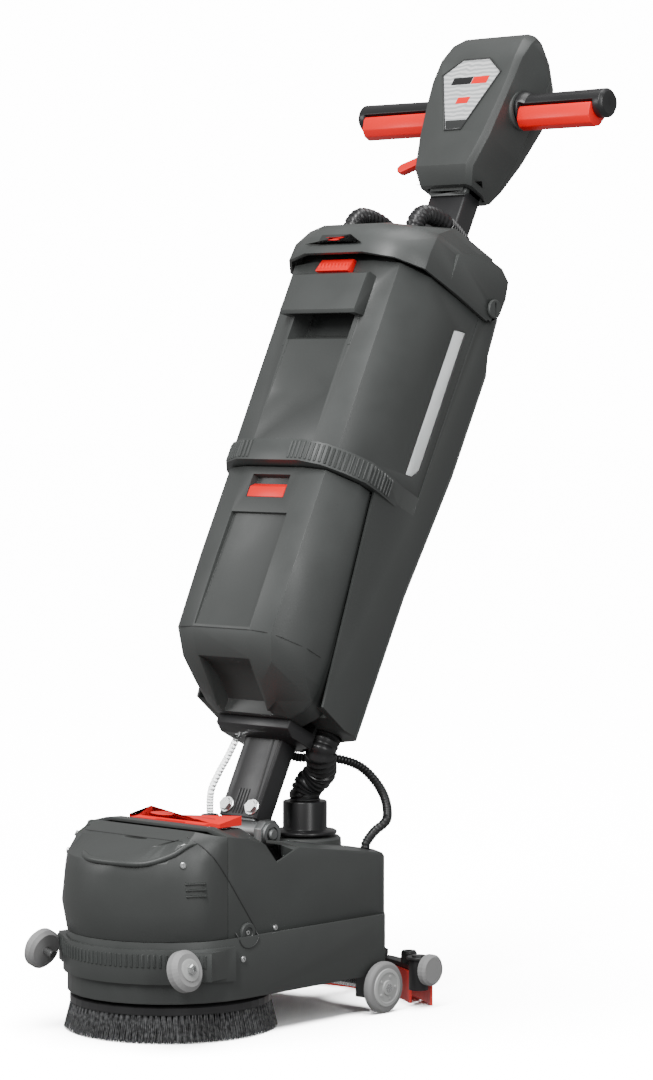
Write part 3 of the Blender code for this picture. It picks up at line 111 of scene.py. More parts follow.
def settle(obj, place=BASE):
    """Move a finished mesh into the machine's frame, and leave its object at the origin."""
    only(obj)
    obj.matrix_world = place @ obj.matrix_world
    bpy.ops.object.transform_apply(location=True, rotation=True, scale=True)
    return obj


# %% [markdown]
# Colours are written as they look on a screen, in hex. Shaders work in linear light, so one
# function turns them. One more adds a node with its settings and links.

# %% Colour and node helpers
def linear(code):
    """Turn a screen hex colour into linear light."""
    parts = [int(code[k:k + 2], 16) / 255 for k in (1, 3, 5)]
    return tuple(c / 12.92 if c <= 0.04045 else ((c + 0.055) / 1.055) ** 2.4 for c in parts) + (1.0,)


def add(tree, kind, settings=(), links=()):
    """Add one node, set its inputs or properties, and link other nodes' outputs to it."""
    node = tree.nodes.new(kind)
    for name, value in dict(settings).items():
        if name in node.inputs:
            node.inputs[name].default_value = value
        else:
            setattr(node, name, value)
    for name, source in dict(links).items():
        tree.links.new(source, node.inputs[name])
    return node


def per_mm(size):
    """Texture scale for a pattern whose features are this many millimetres apart."""
    return 1000.0 / size


# %% [markdown]
# Most of the machine is moulded plastic. The mould is spark-eroded, so the skin has a fine
# grain that spreads each highlight, and handling polishes it unevenly. The grain is really
# about 0.3 mm, drawn at 0.8 mm so that it shows. Edges that rub wear a shade lighter.

# %% Moulded plastic
def moulded(name, colour, rough, grain=0.8, depth=0.03, uneven=0.06, ior=1.46, coat=0.0, worn=None):
    """A moulded plastic with a fine eroded grain and uneven polish."""
    mat = bpy.data.materials.new(name)
    mat.use_nodes = True
    tree = mat.node_tree
    skin = tree.nodes["Principled BSDF"]
    where = add(tree, "ShaderNodeTexCoord").outputs["Object"]
    fine = add(tree, "ShaderNodeTexNoise", {"Scale": per_mm(grain), "Detail": 2.0}, {"Vector": where})
    broad = add(tree, "ShaderNodeTexNoise", {"Scale": per_mm(55.0), "Detail": 3.0}, {"Vector": where})
    bump = add(tree, "ShaderNodeBump", {"Strength": 0.35, "Distance": depth / 1000},
               {"Height": fine.outputs["Fac"]})
    polish = add(tree, "ShaderNodeMapRange", {"From Min": 0.3, "From Max": 0.7, "To Min": rough - uneven,
                                              "To Max": rough + uneven}, {"Value": broad.outputs["Fac"]})
    tree.links.new(polish.outputs["Result"], skin.inputs["Roughness"])
    tree.links.new(bump.outputs["Normal"], skin.inputs["Normal"])
    tint = add(tree, "ShaderNodeMix", {"data_type": "RGBA"})
    light, dark = linear(worn or colour), linear(colour)
    tint.inputs[6].default_value = dark
    tint.inputs[7].default_value = light
    edge = add(tree, "ShaderNodeMapRange", {"From Min": 0.515, "From Max": 0.60, "To Min": 0.0, "To Max": 1.0},
               {"Value": add(tree, "ShaderNodeNewGeometry").outputs["Pointiness"]})
    rub = add(tree, "ShaderNodeMath", {"operation": "MULTIPLY"},
              {0: edge.outputs["Result"], 1: broad.outputs["Fac"]})
    tree.links.new(rub.outputs[0], tint.inputs[0])
    tree.links.new(tint.outputs[2], skin.inputs["Base Color"])
    skin.inputs["IOR"].default_value = ior
    skin.inputs["Coat Weight"].default_value = coat
    skin.inputs["Coat Roughness"].default_value = 0.25
    return mat


charcoal_abs = moulded("charcoal_moulded_ABS", "#3b3d3c", 0.42, worn="#4b4e4d")
# A darker charcoal for seams, bezels, the gasket and print; on the hood pivots it is also painted shade,
# standing for the dark inside the screw slots.
dark_abs_and_slot_shade = moulded("dark_charcoal_ABS_and_painted_slot_shade", "#2a2b2b", 0.50, worn="#343635")
black_pp = moulded("black_moulded_polypropylene", "#1f1f20", 0.33, worn="#303031")
grip_pvc = moulded("black_soft_PVC_grip", "#222223", 0.44, grain=1.1, depth=0.05, worn="#303031")
red_abs = moulded("red_moulded_ABS", "#ea0f12", 0.34, depth=0.012, uneven=0.04, ior=1.36, coat=0.08,
                  worn="#f5221f")
grey_tpe = moulded("grey_moulded_TPE", "#868686", 0.55, grain=1.0, worn="#a0a0a0")
grey_hub = moulded("light_grey_nylon_hub", "#a8a9a8", 0.42, worn="#bdbebd")
red_pedal = moulded("red_matt_TPE_pedal", "#f0181a", 0.66, depth=0.03, worn="#f62c28", ior=1.22)
red_pu = moulded("red_polyurethane_blade", "#e0231f", 0.40, worn="#ef4a40")
print("moulded plastics ready")

# %% [markdown]
# The column is a rectangular steel tube with a baked powder coat. Powder flows out to a soft
# orange-peel surface, lumps about 2 mm apart, under a satin shine.

# %% Powder coat
powder_coat = moulded("satin_black_powder_coat_on_steel", "#202021", 0.38, grain=2.0, depth=0.05, ior=1.5,
                      worn="#2c2c2d")


# %% [markdown]
# Bare metals: bright zinc-plated screws and axles, and the knuckle and pivot cheeks of grey
# cast aluminium, whose sand-blasted skin is rough and a little mottled.

# %% Bare metals
def metal(name, colour, rough, grain, depth):
    """A bare metal with a fine surface pattern."""
    mat = bpy.data.materials.new(name)
    mat.use_nodes = True
    tree = mat.node_tree
    skin = tree.nodes["Principled BSDF"]
    skin.inputs["Metallic"].default_value = 1.0
    skin.inputs["Base Color"].default_value = linear(colour)
    where = add(tree, "ShaderNodeTexCoord").outputs["Object"]
    fine = add(tree, "ShaderNodeTexNoise", {"Scale": per_mm(grain), "Detail": 3.0}, {"Vector": where})
    bump = add(tree, "ShaderNodeBump", {"Strength": 0.4, "Distance": depth / 1000},
               {"Height": fine.outputs["Fac"]})
    shine = add(tree, "ShaderNodeMapRange", {"To Min": rough - 0.07, "To Max": rough + 0.07},
                {"Value": fine.outputs["Fac"]})
    tree.links.new(shine.outputs["Result"], skin.inputs["Roughness"])
    tree.links.new(bump.outputs["Normal"], skin.inputs["Normal"])
    return mat


zinc_steel = metal("zinc_plated_steel", "#cfd0d0", 0.26, 1.5, 0.02)
cast_aluminium = metal("blasted_cast_aluminium", "#8d8f8f", 0.44, 0.9, 0.05)

# %% [markdown]
# Nylon bristle is drawn through a die, so each strand is smooth and catches a thin line of
# light. Strand by strand the grey differs a little, which stops a dense brush from looking
# like one block.

# %% Nylon bristle
nylon = bpy.data.materials.new("black_drawn_nylon_bristle")
nylon.use_nodes = True
nylon_tree = nylon.node_tree
nylon_skin = nylon_tree.nodes["Principled BSDF"]
nylon_where = add(nylon_tree, "ShaderNodeTexCoord").outputs["Object"]
nylon_noise = add(nylon_tree, "ShaderNodeTexNoise", {"Scale": per_mm(4.0), "Detail": 2.0},
                  {"Vector": nylon_where})
nylon_ramp = add(nylon_tree, "ShaderNodeValToRGB", (), {"Fac": nylon_noise.outputs["Fac"]})
nylon_ramp.color_ramp.elements[0].position = 0.35
nylon_ramp.color_ramp.elements[0].color = linear("#2c2c2d")
nylon_ramp.color_ramp.elements[1].position = 0.68
nylon_ramp.color_ramp.elements[1].color = linear("#6c6d6e")
nylon_tree.links.new(nylon_ramp.outputs["Color"], nylon_skin.inputs["Base Color"])
nylon_skin.inputs["Roughness"].default_value = 0.38

# %% [markdown]
# The water tube is clear PVC gone slightly milky: light passes, but softly.

# %% Clear tube
clear_pvc = bpy.data.materials.new("clear_PVC_tube")
clear_pvc.use_nodes = True
clear_skin = clear_pvc.node_tree.nodes["Principled BSDF"]
clear_skin.inputs["Base Color"].default_value = linear("#eef0f0")
clear_skin.inputs["Transmission Weight"].default_value = 0.55
clear_skin.inputs["Roughness"].default_value = 0.18
clear_skin.inputs["IOR"].default_value = 1.52

# %% [markdown]
# The label is a printed metallic film. A faint family of contour curves is printed all over
# it, made from distorted rings about 3 mm apart, with no lettering.

# %% Printed film
film = bpy.data.materials.new("printed_metallised_polyester_film")
film.use_nodes = True
film_tree = film.node_tree
film_skin = film_tree.nodes["Principled BSDF"]
film_where = add(film_tree, "ShaderNodeTexCoord").outputs["Object"]
film_wave = add(film_tree, "ShaderNodeTexWave", {"wave_type": "RINGS", "Scale": per_mm(3.0) / 6.28,
                                                 "Distortion": 3.5,
                                                 "Detail": 1.5, "Detail Scale": 1.2}, {"Vector": film_where})
film_ramp = add(film_tree, "ShaderNodeValToRGB", (), {"Fac": film_wave.outputs["Fac"]})
film_ramp.color_ramp.elements[0].position = 0.42
film_ramp.color_ramp.elements[0].color = linear("#c6c9ca")
film_ramp.color_ramp.elements[1].position = 0.62
film_ramp.color_ramp.elements[1].color = linear("#f6f7f7")
film_tree.links.new(film_ramp.outputs["Color"], film_skin.inputs["Base Color"])
film_skin.inputs["Metallic"].default_value = 0.35
film_skin.inputs["Roughness"].default_value = 0.3

# %% One finish for each slot of the record
FINISH = {"charcoal_plastic": charcoal_abs, "black_plastic": black_pp, "black_tube": powder_coat,
          "red_plastic": red_abs, "grey_tyre": grey_tpe, "steel": zinc_steel, "cast_metal": cast_aluminium,
          "bristle": nylon, "clear_plastic": clear_pvc, "blade_rubber": red_pu, "silver_label": film}
for name, node in frame["nodes"].items():
    node.data.materials.clear()
    node.data.materials.append(FINISH[node_slot[name]])

# %% [markdown]
# Everything new goes through one door: it gets a name, a finish (picked by its slot unless one is
# given) and, where a body is given, the body that it moves with.

# %% Handing a piece over
made = []


def hand_over(obj, name, body, slot, finish=None, smooth=32):
    """Name a piece, give it its finish, and let it ride on its body when one is given."""
    obj.name = name
    obj.data.name = name
    obj.data.materials.clear()
    obj.data.materials.append(finish or FINISH[slot])
    only(obj)
    if smooth:
        bpy.ops.object.shade_smooth_by_angle(angle=math.radians(smooth))
    if body:
        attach(obj, body)
    made.append(name)
    return obj


def join(objs):
    """Make one object of several."""
    bpy.ops.object.select_all(action="DESELECT")
    for obj in objs:
        obj.select_set(True)
    bpy.context.view_layer.objects.active = objs[0]
    if len(objs) > 1:
        bpy.ops.object.join()
    return bpy.context.view_layer.objects.active


def bevel(obj, width, segments=2, angle=30):
    """Round an object's sharp edges with an applied bevel."""
    only(obj)
    mod = obj.modifiers.new("round", "BEVEL")
    mod.width = width
    mod.segments = segments
    mod.limit_method = "ANGLE"
    mod.angle_limit = math.radians(angle)
    mod.use_clamp_overlap = True
    bpy.ops.object.modifier_apply(modifier=mod.name)
    return obj


def loft(rings, place=BASE, round_by=0.0):
    """Start from a filled circle, then extrude it from ring to ring. Both ends stay closed."""
    count = len(rings[0])
    bpy.ops.object.select_all(action="DESELECT")
    bpy.ops.mesh.primitive_circle_add(vertices=count, radius=0.01, fill_type="NGON")
    obj = bpy.context.active_object
    for vert, spot in zip(obj.data.vertices, rings[0]):
        vert.co = spot
    for ring in rings[1:]:
        bpy.ops.object.mode_set(mode="EDIT")
        bpy.ops.mesh.select_mode(type="FACE")
        bpy.ops.mesh.extrude_region_move()
        leave()
        top = next(face for face in obj.data.polygons if face.select and len(face.vertices) == count)
        start = min(top.vertices)
        for k, spot in enumerate(ring):
            obj.data.vertices[start + k].co = spot
    edit(obj)
    bpy.ops.mesh.normals_make_consistent(inside=False)
    leave()
    if round_by:
        bevel(obj, round_by)
    return settle(obj, place)


def slab(outline, axis, low, high, place=BASE, round_by=0.0):
    """A flat outline given a thickness along X, Y or Z."""
    spot = {"X": lambda a, b, h: (h, a, b), "Y": lambda a, b, h: (a, h, b), "Z": lambda a, b,
            h: (a, b, h)}[axis]
    return loft([[spot(a, b, h) for a, b in outline] for h in (low, high)], place, round_by)


def lathe(profile, place, steps=48):
    """Spin a (radius, height) profile round Z, with its end points on the axis."""
    bpy.ops.object.select_all(action="DESELECT")
    bpy.ops.mesh.primitive_circle_add(vertices=len(profile), radius=0.01, fill_type="NOTHING")
    obj = bpy.context.active_object
    for vert, (r, h) in zip(obj.data.vertices, profile):
        vert.co = (r, 0, h)
    open_chain = profile[0][0] < 1e-6
    edit(obj, "DESELECT")
    bpy.ops.mesh.select_mode(type="EDGE")
    leave()
    if open_chain:
        ends = {0, len(profile) - 1}
        for edge in obj.data.edges:
            edge.select = set(edge.vertices) == ends
        bpy.ops.object.mode_set(mode="EDIT")
        bpy.ops.mesh.delete(type="EDGE")
        leave()
    edit(obj)
    bpy.ops.mesh.spin(steps=steps, angle=2 * math.pi, center=(0, 0, 0), axis=(0, 0, 1))
    bpy.ops.mesh.select_all(action="SELECT")
    bpy.ops.mesh.remove_doubles(threshold=1e-6)
    bpy.ops.mesh.dissolve_degenerate(threshold=1e-7)
    bpy.ops.mesh.normals_make_consistent(inside=False)
    leave()
    return settle(obj, place)


def facing(point, direction):
    """A frame at a point whose Z axis runs along a direction."""
    turn = Vector((0, 0, 1)).rotation_difference(Vector(direction)).to_matrix().to_4x4()
    return Matrix.Translation(point) @ turn


skins = {}


def hit(node, start, direction, place=BASE):
    """Where a line meets a node's skin, and the skin's normal there, both in the machine's frame."""
    if node not in skins:
        data = frame["nodes"][node].data
        skins[node] = BVHTree.FromPolygons([v.co for v in data.vertices],
                                           [tuple(f.vertices) for f in data.polygons])
    way = place.to_3x3() @ Vector(direction)
    spot, normal, _, _ = skins[node].ray_cast(place @ Vector(start), way.normalized())
    return spot, normal


# %% [markdown]
# Real mouldings have no knife edges: every outside corner has a radius of a millimetre or so,
# and it is that radius that catches the light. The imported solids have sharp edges, so each
# large shell is copied, its loose triangles are merged, flat areas are cleaned to single
# faces, and a bevel rounds what is left. The copy stands for the node.

# %% Rounded shells
SHELLS = {"base_cover": 0.0016, "base_skirt": 0.0014, "front_cover": 0.0016, "bumper": 0.0010,
          "body_shell": 0.0014,
          "waste_tank": 0.0018, "tank_hood": 0.0016, "clean_tank": 0.0018, "bottom_bracket": 0.0014,
          "head_housing": 0.0022, "head_rear_cover": 0.0022, "column_tube": 0.0012, "column_knuckle": 0.0010,
          "pivot_bracket": 0.0010, "hose_turret": 0.0015, "squeegee_arm": 0.0015, "squeegee_holder": 0.0012,
          "rear_wheel_left": 0.0010, "rear_wheel_right": 0.0010, "waste_tank_latch": 0.0010,
          "clean_tank_latch": 0.0010,
          "trigger_left": 0.0014, "trigger_right": 0.0014, "release_lever": 0.0014, "grip_left": 0.0012,
          "grip_right": 0.0012, "battery_pack": 0.0020, "level_window": 0.0006}
node_body = {node: body for body, nodes in frame["record"]["behaviour"]["bodies"].items() for node in nodes}


def rounded(node, width):
    """A copy of a CAD node with rounded edges, which stands for it."""
    source = frame["nodes"][node]
    obj = source.copy()
    obj.data = source.data.copy()
    obj.parent = None
    bpy.context.collection.objects.link(obj)
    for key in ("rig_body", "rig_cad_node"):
        if key in obj:
            del obj[key]
    only(obj)
    bpy.ops.mesh.customdata_custom_splitnormals_clear()
    edit(obj)
    bpy.ops.mesh.remove_doubles(threshold=0.00002)
    bpy.ops.mesh.dissolve_limited(angle_limit=math.radians(1.0))
    leave()
    bevel(obj, width, segments=2, angle=34)
    hand_over(obj, node + "_shell", node_body[node], node_slot[node], smooth=38)
    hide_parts(node)
    return obj


shells = {node: rounded(node, width) for node, width in SHELLS.items()}
print(len(shells), "rounded shells")

# %% [markdown]
# The brush is dense: hundreds of tufts in three rings. One strand is a thin cone. It is
# copied into a small splayed tuft, and Spin with duplicates carries the tuft round the ring,
# so the whole brush comes from one strand.

# %% Bristle tufts
BRISTLE_TOP = 0.0345
TIP_R = 0.1262


def strand(root, tip, thick):
    """One tapered bristle between two points."""
    root, tip = Vector(root), Vector(tip)
    bpy.ops.mesh.primitive_cone_add(vertices=4, radius1=thick, radius2=thick * 0.55, depth=(tip - root).length,
                                    end_fill_type="TRIFAN")
    obj = bpy.context.active_object
    obj.matrix_world = facing((root + tip) / 2, tip - root)
    return obj


def tuft_ring(radius, reach, count, seed):
    """A ring of tufts rooted at one radius, whose tips spread outward."""
    strands = []
    for k in range(11):
        spin = 2.399 * k + seed
        spread = 0.0042 * math.sqrt((k + 0.5) / 11)
        out, along = spread * math.cos(spin), spread * math.sin(spin)
        low = 0.0006 * (1 + math.sin(5.1 * k + seed))
        strands.append(strand((radius + out * 0.45, along * 0.45, BRISTLE_TOP),
                              (reach + out * 0.7, along * 1.5, low), 0.0006))
    tuft = join(strands)
    only(tuft)
    bpy.ops.object.transform_apply(location=True, rotation=True, scale=True)
    edit(tuft)
    bpy.ops.mesh.spin(steps=count, dupli=True, angle=2 * math.pi, center=(0, 0, 0), axis=(0, 0, 1))
    leave()
    return tuft


brush_rings = [tuft_ring(0.1150, TIP_R - 0.0032, 104, 0.0), tuft_ring(0.1070, 0.1150, 92, 1.3),
               tuft_ring(0.0980, 0.1040, 80, 2.1), tuft_ring(0.0880, 0.0910, 66, 3.7)]
bristles = settle(join(brush_rings))
hand_over(bristles, "bristle_tufts", "brush", "bristle", smooth=0)
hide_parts("brush_bristles")
print("bristle faces", len(bristles.data.polygons))

# %% [markdown]
# The hoses are blow-moulded with a ring every 4 or 5 mm, so that they bend without kinking.
# A curve with a round bevel makes the tube. Its points lie four to a ring, and each point's
# own radius swells or pinches the tube, which draws the rings.

# %% Ribbed hoses
def smooth_route(route, step):
    """Points a fixed distance apart along a smooth curve through the route."""
    spots = [Vector(p) for p in route]
    ends = [2 * spots[0] - spots[1]] + spots + [2 * spots[-1] - spots[-2]]
    fine = []
    for a, b, c, d in zip(ends, ends[1:], ends[2:], ends[3:]):
        for k in range(40):
            t = k / 40
            fine.append(0.5 * (2 * b + (c - a) * t + (2 * a - 5 * b + 4 * c - d) * t ** 2 + (3 * b - a - 3 * c + d) * t ** 3))
    fine.append(spots[-1])
    out, gone = [fine[0]], 0.0
    for p, q in zip(fine, fine[1:]):
        gone += (q - p).length
        if gone >= step:
            out.append(q)
            gone = 0.0
    return out


def ribbed_hose(name, route, radius, pitch, depth, place, body, slot="black_plastic", finish=None, sides=5):
    """A corrugated tube along a route, replacing the CAD node of the same name."""
    spots = smooth_route(route, pitch / 4)
    data = bpy.data.curves.new(name, "CURVE")
    data.dimensions = "3D"
    data.bevel_depth = radius
    data.bevel_resolution = sides
    data.use_fill_caps = True
    line = data.splines.new("POLY")
    line.points.add(len(spots) - 1)
    pinch = (1.0, 1.0, 1 - depth, 1 - depth)
    for k, (point, spot) in enumerate(zip(line.points, spots)):
        point.co = (*spot, 1.0)
        point.radius = pinch[k % 4]
    obj = bpy.data.objects.new(name, data)
    bpy.context.collection.objects.link(obj)
    only(obj)
    bpy.ops.object.convert(target="MESH")
    obj = settle(bpy.context.active_object, place)
    hand_over(obj, name + "_ribbed", body, slot, finish, smooth=50)
    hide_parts(name)
    return obj


def column_spot(x, u, v):
    """A point of the column's frame, given in the base's frame."""
    return tuple(BASE.inverted() @ COLUMN @ Vector((x, u, v)))


DECK_TURRET = (0.0160, 0.2130)
vac_route = [(*DECK_TURRET, 0.2492), (*DECK_TURRET, 0.2530), (*DECK_TURRET, 0.2570), (0.0230, 0.2150, 0.2700),
             (0.0400, 0.2160, 0.2850), column_spot(0.0560, 0.0345, 0.1200), column_spot(0.0560, 0.0345, 0.1418)]
vac = ribbed_hose("vac_hose", vac_route, 0.0190, 0.0052, 0.13, BASE, None)
conduit_route = [column_spot(-0.0350, 0.0480, 0.1416), column_spot(-0.0350, 0.0490, 0.1340),
                 (-0.026, 0.240, 0.2960),
                 (0.004, 0.270, 0.2950), (0.040, 0.288, 0.2840), (0.075, 0.288, 0.2560),
                 (0.0980, 0.271, 0.2280),
                 (0.0990, 0.247, 0.2140), (0.0980, 0.2330, 0.2010), (0.0980, 0.2330, 0.1912)]
conduit = ribbed_hose("cable_conduit", conduit_route, 0.0060, 0.0030, 0.16, BASE, None, sides=4)
water_route = [column_spot(-0.050, -0.004, 0.113), (-0.056, 0.152, 0.300), (-0.061, 0.142, 0.281),
               (-0.0665, 0.134, 0.258),
               (-0.0670, 0.133, 0.226), (-0.0670, 0.133, 0.2108)]
water = ribbed_hose("water_tube", water_route, 0.0045, 0.0030, 0.10, BASE, None, "clear_plastic", sides=4)
top_hoses = []
for side, name in ((1, "left"), (-1, "right")):
    x = side * 0.0560
    route = [(x * 0.94, -0.0990, 0.7560), (x * 0.94, -0.0985, 0.7760), (x * 0.93, -0.0870, 0.7900),
             (x * 0.92, -0.0520, 0.7970),
             (x * 0.92, -0.0100, 0.7900), (x * 0.95, 0.0160, 0.7720), (x * 0.99, 0.0340, 0.7450),
             (x, 0.0380, 0.7060)]
    top_hoses.append(ribbed_hose(f"top_hose_{name}", route, 0.0120, 0.0042, 0.14, COLUMN, None))
squeegee_route = [(0, 0.3440, 0.0643), (0, 0.3440, 0.0660), (0, 0.3440, 0.0700), (0, 0.3450, 0.084),
                  (0, 0.3360, 0.108),
                  (0, 0.3080, 0.134), (0, 0.2775, 0.146), (0, 0.2535, 0.147), (0, 0.2435, 0.147)]
squeegee_tube = ribbed_hose("squeegee_hose", squeegee_route, 0.0160, 0.0046, 0.14, BASE, None)
for tube in (vac, conduit, water):
    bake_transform(tube)
for tube in top_hoses:
    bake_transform(tube)
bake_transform(squeegee_tube)

# %% [markdown]
# Screws hold the covers. Each is a pan head, lathed with a shallow round dip where its cross
# recess would be, and it is placed where a line meets the skin so that it sits flush.

# %% Screws
def screw(name, spot, normal, body, r=0.0042, washer=0.0, hexed=False):
    """A screw head seated on a surface."""
    profile = [(0.0, -0.0006), (r, -0.0006), (r, r * 0.42), (r * 0.72, r * 0.62), (r * 0.36, r * 0.62),
               (r * 0.30, r * 0.18), (0.0, r * 0.18)]
    parts = [lathe(profile, facing(spot, normal), steps=6 if hexed else 24)]
    if washer:
        parts.append(lathe([(0.0, -0.0004), (washer, -0.0004), (washer, 0.0010), (washer * 0.92, 0.0013),
                            (0.0, 0.0013)],
                           facing(spot, normal), steps=32))
    return hand_over(join(parts), name, body, "steel", smooth=28)


for k, (y, z) in enumerate(((-0.066, 0.225), (-0.074, 0.205), (-0.0025, 0.092), (0.057, 0.121),
                            (0.0106, 0.1206))):
    for side, tag in ((1, "left"), (-1, "right")):
        for node in ("front_cover", "base_cover", "base_skirt"):
            spot, normal = hit(node, (side * 0.20, y, z), (-side, 0, 0))
            if spot is not None and abs(spot.x) > 0.06:
                screw(f"cover_screw_{tag}_{k}", spot, normal, "base", r=0.0036)
                break

# %% Hub caps and wheel bolts
def hub(name, centre, side, radius, body, bolts, place=BASE, tilt=0.0):
    """A stepped grey hub with its screws, on a wheel's outer face."""
    frame_here = place @ Matrix.Translation(centre) @ Matrix.Rotation(-side * tilt, 4,
                                                            "Y") @ Matrix.Rotation(side * math.pi / 2, 4, "Y")
    rim = lathe([(0.0, -0.0004), (radius * 0.74, -0.0004), (radius * 0.72, 0.0009), (radius * 0.60, 0.0014),
                 (radius * 0.56, 0.0004),
                 (radius * 0.30, 0.0004), (radius * 0.27, 0.0024), (0.0, 0.0026)], frame_here, steps=40)
    hand_over(rim, name + "_hub", body, "grey_tyre", grey_hub, smooth=26)
    heads = []
    for k in range(bolts):
        turn = 2 * math.pi * k / bolts + 0.3
        spot = frame_here @ Vector((radius * 0.44 * math.cos(turn), radius * 0.44 * math.sin(turn), 0.0004))
        heads.append(lathe([(0.0, 0.0), (0.0019, 0.0), (0.0019, 0.0008), (0.0010, 0.0012), (0.0, 0.0006)],
                           facing(spot, frame_here.to_3x3() @ Vector((0, 0, 1))), steps=12))
    if heads:
        hand_over(join(heads), name + "_bolts", body, "grey_tyre", grey_hub, smooth=26)


for side, tag in ((1, "left"), (-1, "right")):
    hub(f"rear_wheel_{tag}", (side * 0.1364, 0.2290, 0.0310), side, 0.0310, f"rear_wheel_{tag}", 5)

# %% Corner rollers: a domed steel nut on each axle
for side, tag in ((1, "left"), (-1, "right")):
    low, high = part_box(f"roller_axle_{tag}")
    way = Vector((side * math.cos(math.radians(16)), 0, math.sin(math.radians(16))))
    centre = BASE @ Vector((side * 0.1200, -0.0950, 0.0890))
    face = centre + way * 0.0088
    ring = lathe([(0.0, -0.0004), (0.0130, -0.0004), (0.0130, 0.0008), (0.0100, 0.0016), (0.0, 0.0010)],
                 facing(face, way), steps=32)
    hand_over(ring, f"roller_face_{tag}", f"bumper_roller_{tag}", "grey_tyre", grey_hub, smooth=26)
    nut = lathe([(0.0, 0.0), (0.0062, 0.0), (0.0062, 0.0040), (0.0048, 0.0054), (0.0030, 0.0054),
                 (0.0026, 0.0020), (0.0, 0.0020)],
                facing(face + way * 0.0012, way), steps=6)
    hand_over(nut, f"roller_nut_{tag}", "base", "steel", smooth=20)

# %% [markdown]
# The pedal is a flat red pad with notched front corners. Its two shallow oval hollows for the
# foot are drawn as thin inserts of glossier red plastic, with no hollow cut.

# %% Foot pedal
def oval(cx, cy, rx, ry, count=28):
    """Points round an oval."""
    return [(cx + rx * math.cos(2 * math.pi * k / count),
             cy + ry * math.sin(2 * math.pi * k / count)) for k in range(count)]


PEDAL_BACK = 0.0420
pad_outline = [(-0.0700, PEDAL_BACK), (-0.0700, 0.0060), (-0.0560, 0.0060), (-0.0530, -0.0020),
               (-0.0250, -0.0020), (-0.0220, 0.0015),
               (0.0220, 0.0015), (0.0250, -0.0020), (0.0530, -0.0020), (0.0560, 0.0060), (0.0700, 0.0060),
               (0.0700, PEDAL_BACK)]
PAD_UNDERSIDE = 0.2384
PAD_WIDEN = 1.08


def pad_top(y):
    """Height of the pad's sloping top."""
    return 0.2414 + (y + 0.002) / 0.044 * 0.0080


pad_rise = [(x * PAD_WIDEN, y, pad_top(y)) for x, y in pad_outline]
pad = loft([[(x * PAD_WIDEN, y, PAD_UNDERSIDE) for x, y in pad_outline], pad_rise])
hand_over(pad, "pedal_pad", "pedal", "red_plastic", red_pedal, smooth=30)
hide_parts("release_pedal")
for sx, tag in ((1, "left"), (-1, "right")):
    marks = oval(sx * 0.034, 0.0200, 0.0190, 0.0065)
    inlay = loft([[(x, y, pad_top(y) + lift) for x, y in marks] for lift in (-0.0004, 0.0003)])
    hand_over(inlay, f"pedal_insert_{tag}", "pedal", "red_plastic", red_abs, smooth=30)

# %% [markdown]
# Two rows of upright ribs stiffen the machine: round the front bumper band, and round the
# collar where the two tanks meet. Each rib is found by a line that meets the band's skin.

# %% Ribs on the bumper band and the collar
def rib_bar(spot, normal, upright, length, wide, proud):
    """One half-round rib lying on a skin."""
    out, up = normal.normalized(), upright.normalized()
    across = up.cross(out)
    rings = []
    for h in (-0.5, -0.46, 0.46, 0.5):
        lift = proud if abs(h) < 0.48 else proud * 0.25
        centre = spot + up * (h * length)
        rings.append([centre + across * a * wide / 2 + out * b * lift for a, b in
                      ((-1.0, -0.25), (-0.75, 0.75), (0.0, 1.0), (0.75, 0.75), (1.0, -0.25))])
    return loft([[tuple(p) for p in ring] for ring in rings], Matrix())


bumper_ribs = []
for k in range(41):
    turn = math.radians(-90 + (k - 20) * 3.1)
    out = Vector((math.cos(turn), math.sin(turn), 0))
    spot, normal = hit("bumper", tuple(out * 0.25 + Vector((0, 0, 0.0960))), tuple(-out))
    if spot is not None:
        bumper_ribs.append(rib_bar(spot, Vector((normal.x, normal.y, 0)), Vector((0, 0, 1)), 0.0150, 0.0036,
                                   0.0016))
if bumper_ribs:
    hand_over(join(bumper_ribs), "bumper_ribs", "base", "charcoal_plastic", smooth=40)
collar_ribs = []
tall = COLUMN.to_3x3() @ Vector((0, 0, 1))
for k in range(61):
    share = (k - 30) / 30
    turn = math.radians(-90 + share * 92)
    out = Vector((math.cos(turn), math.sin(turn), 0))
    start = Vector((0, -0.055, 0.4320)) + Vector((out.x * 0.25, out.y * 0.25, 0))
    spot, normal = hit("body_shell", tuple(start), tuple(-out), COLUMN)
    if spot is not None:
        local = COLUMN.inverted() @ spot
        if abs(local.x) > 0.030 or local.y > -0.10:
            collar_ribs.append(rib_bar(spot, normal, tall, 0.0230, 0.0036, 0.0016))
if collar_ribs:
    hand_over(join(collar_ribs), "collar_ribs", "column", "charcoal_plastic", smooth=40)
print(len(bumper_ribs), "bumper ribs,", len(collar_ribs), "collar ribs")

# %% [markdown]
# Hollows are pressed into the rounded shells with small cutters, as a mould's cores would
# leave them: the two scoops under the front visor, and a finger slot low on each side.

# %% Scoops, slots and recesses
def ball(centre, radii, turn=0.0, lean=0.0):
    """A stretched ball to cut with."""
    bpy.ops.mesh.primitive_uv_sphere_add(segments=40, ring_count=20, radius=1.0)
    obj = bpy.context.active_object
    obj.matrix_world = Matrix.Translation(centre) @ Matrix.Rotation(turn, 4, "Z") @ Matrix.Rotation(lean, 4,
                                                            "Y") @ Matrix.Diagonal((*radii, 1.0))
    return settle(obj)


def press(target, cutters):
    """Cut every cutter out of a shell, then remove the cutters."""
    for cutter in cutters:
        only(target)
        mod = target.modifiers.new("press", "BOOLEAN")
        mod.operation = "DIFFERENCE"
        mod.object = cutter
        mod.solver = "EXACT"
        bpy.ops.object.modifier_apply(modifier=mod.name)
        bpy.data.objects.remove(cutter)
    only(target)
    bpy.ops.object.shade_smooth_by_angle(angle=math.radians(38))


def front_spot(x, z, node="front_cover"):
    """The skin straight behind a point in front of the machine."""
    spot, normal = hit(node, (x, -0.30, z), (0, 1, 0))
    return (BASE.inverted() @ spot, normal) if spot is not None else (None, None)


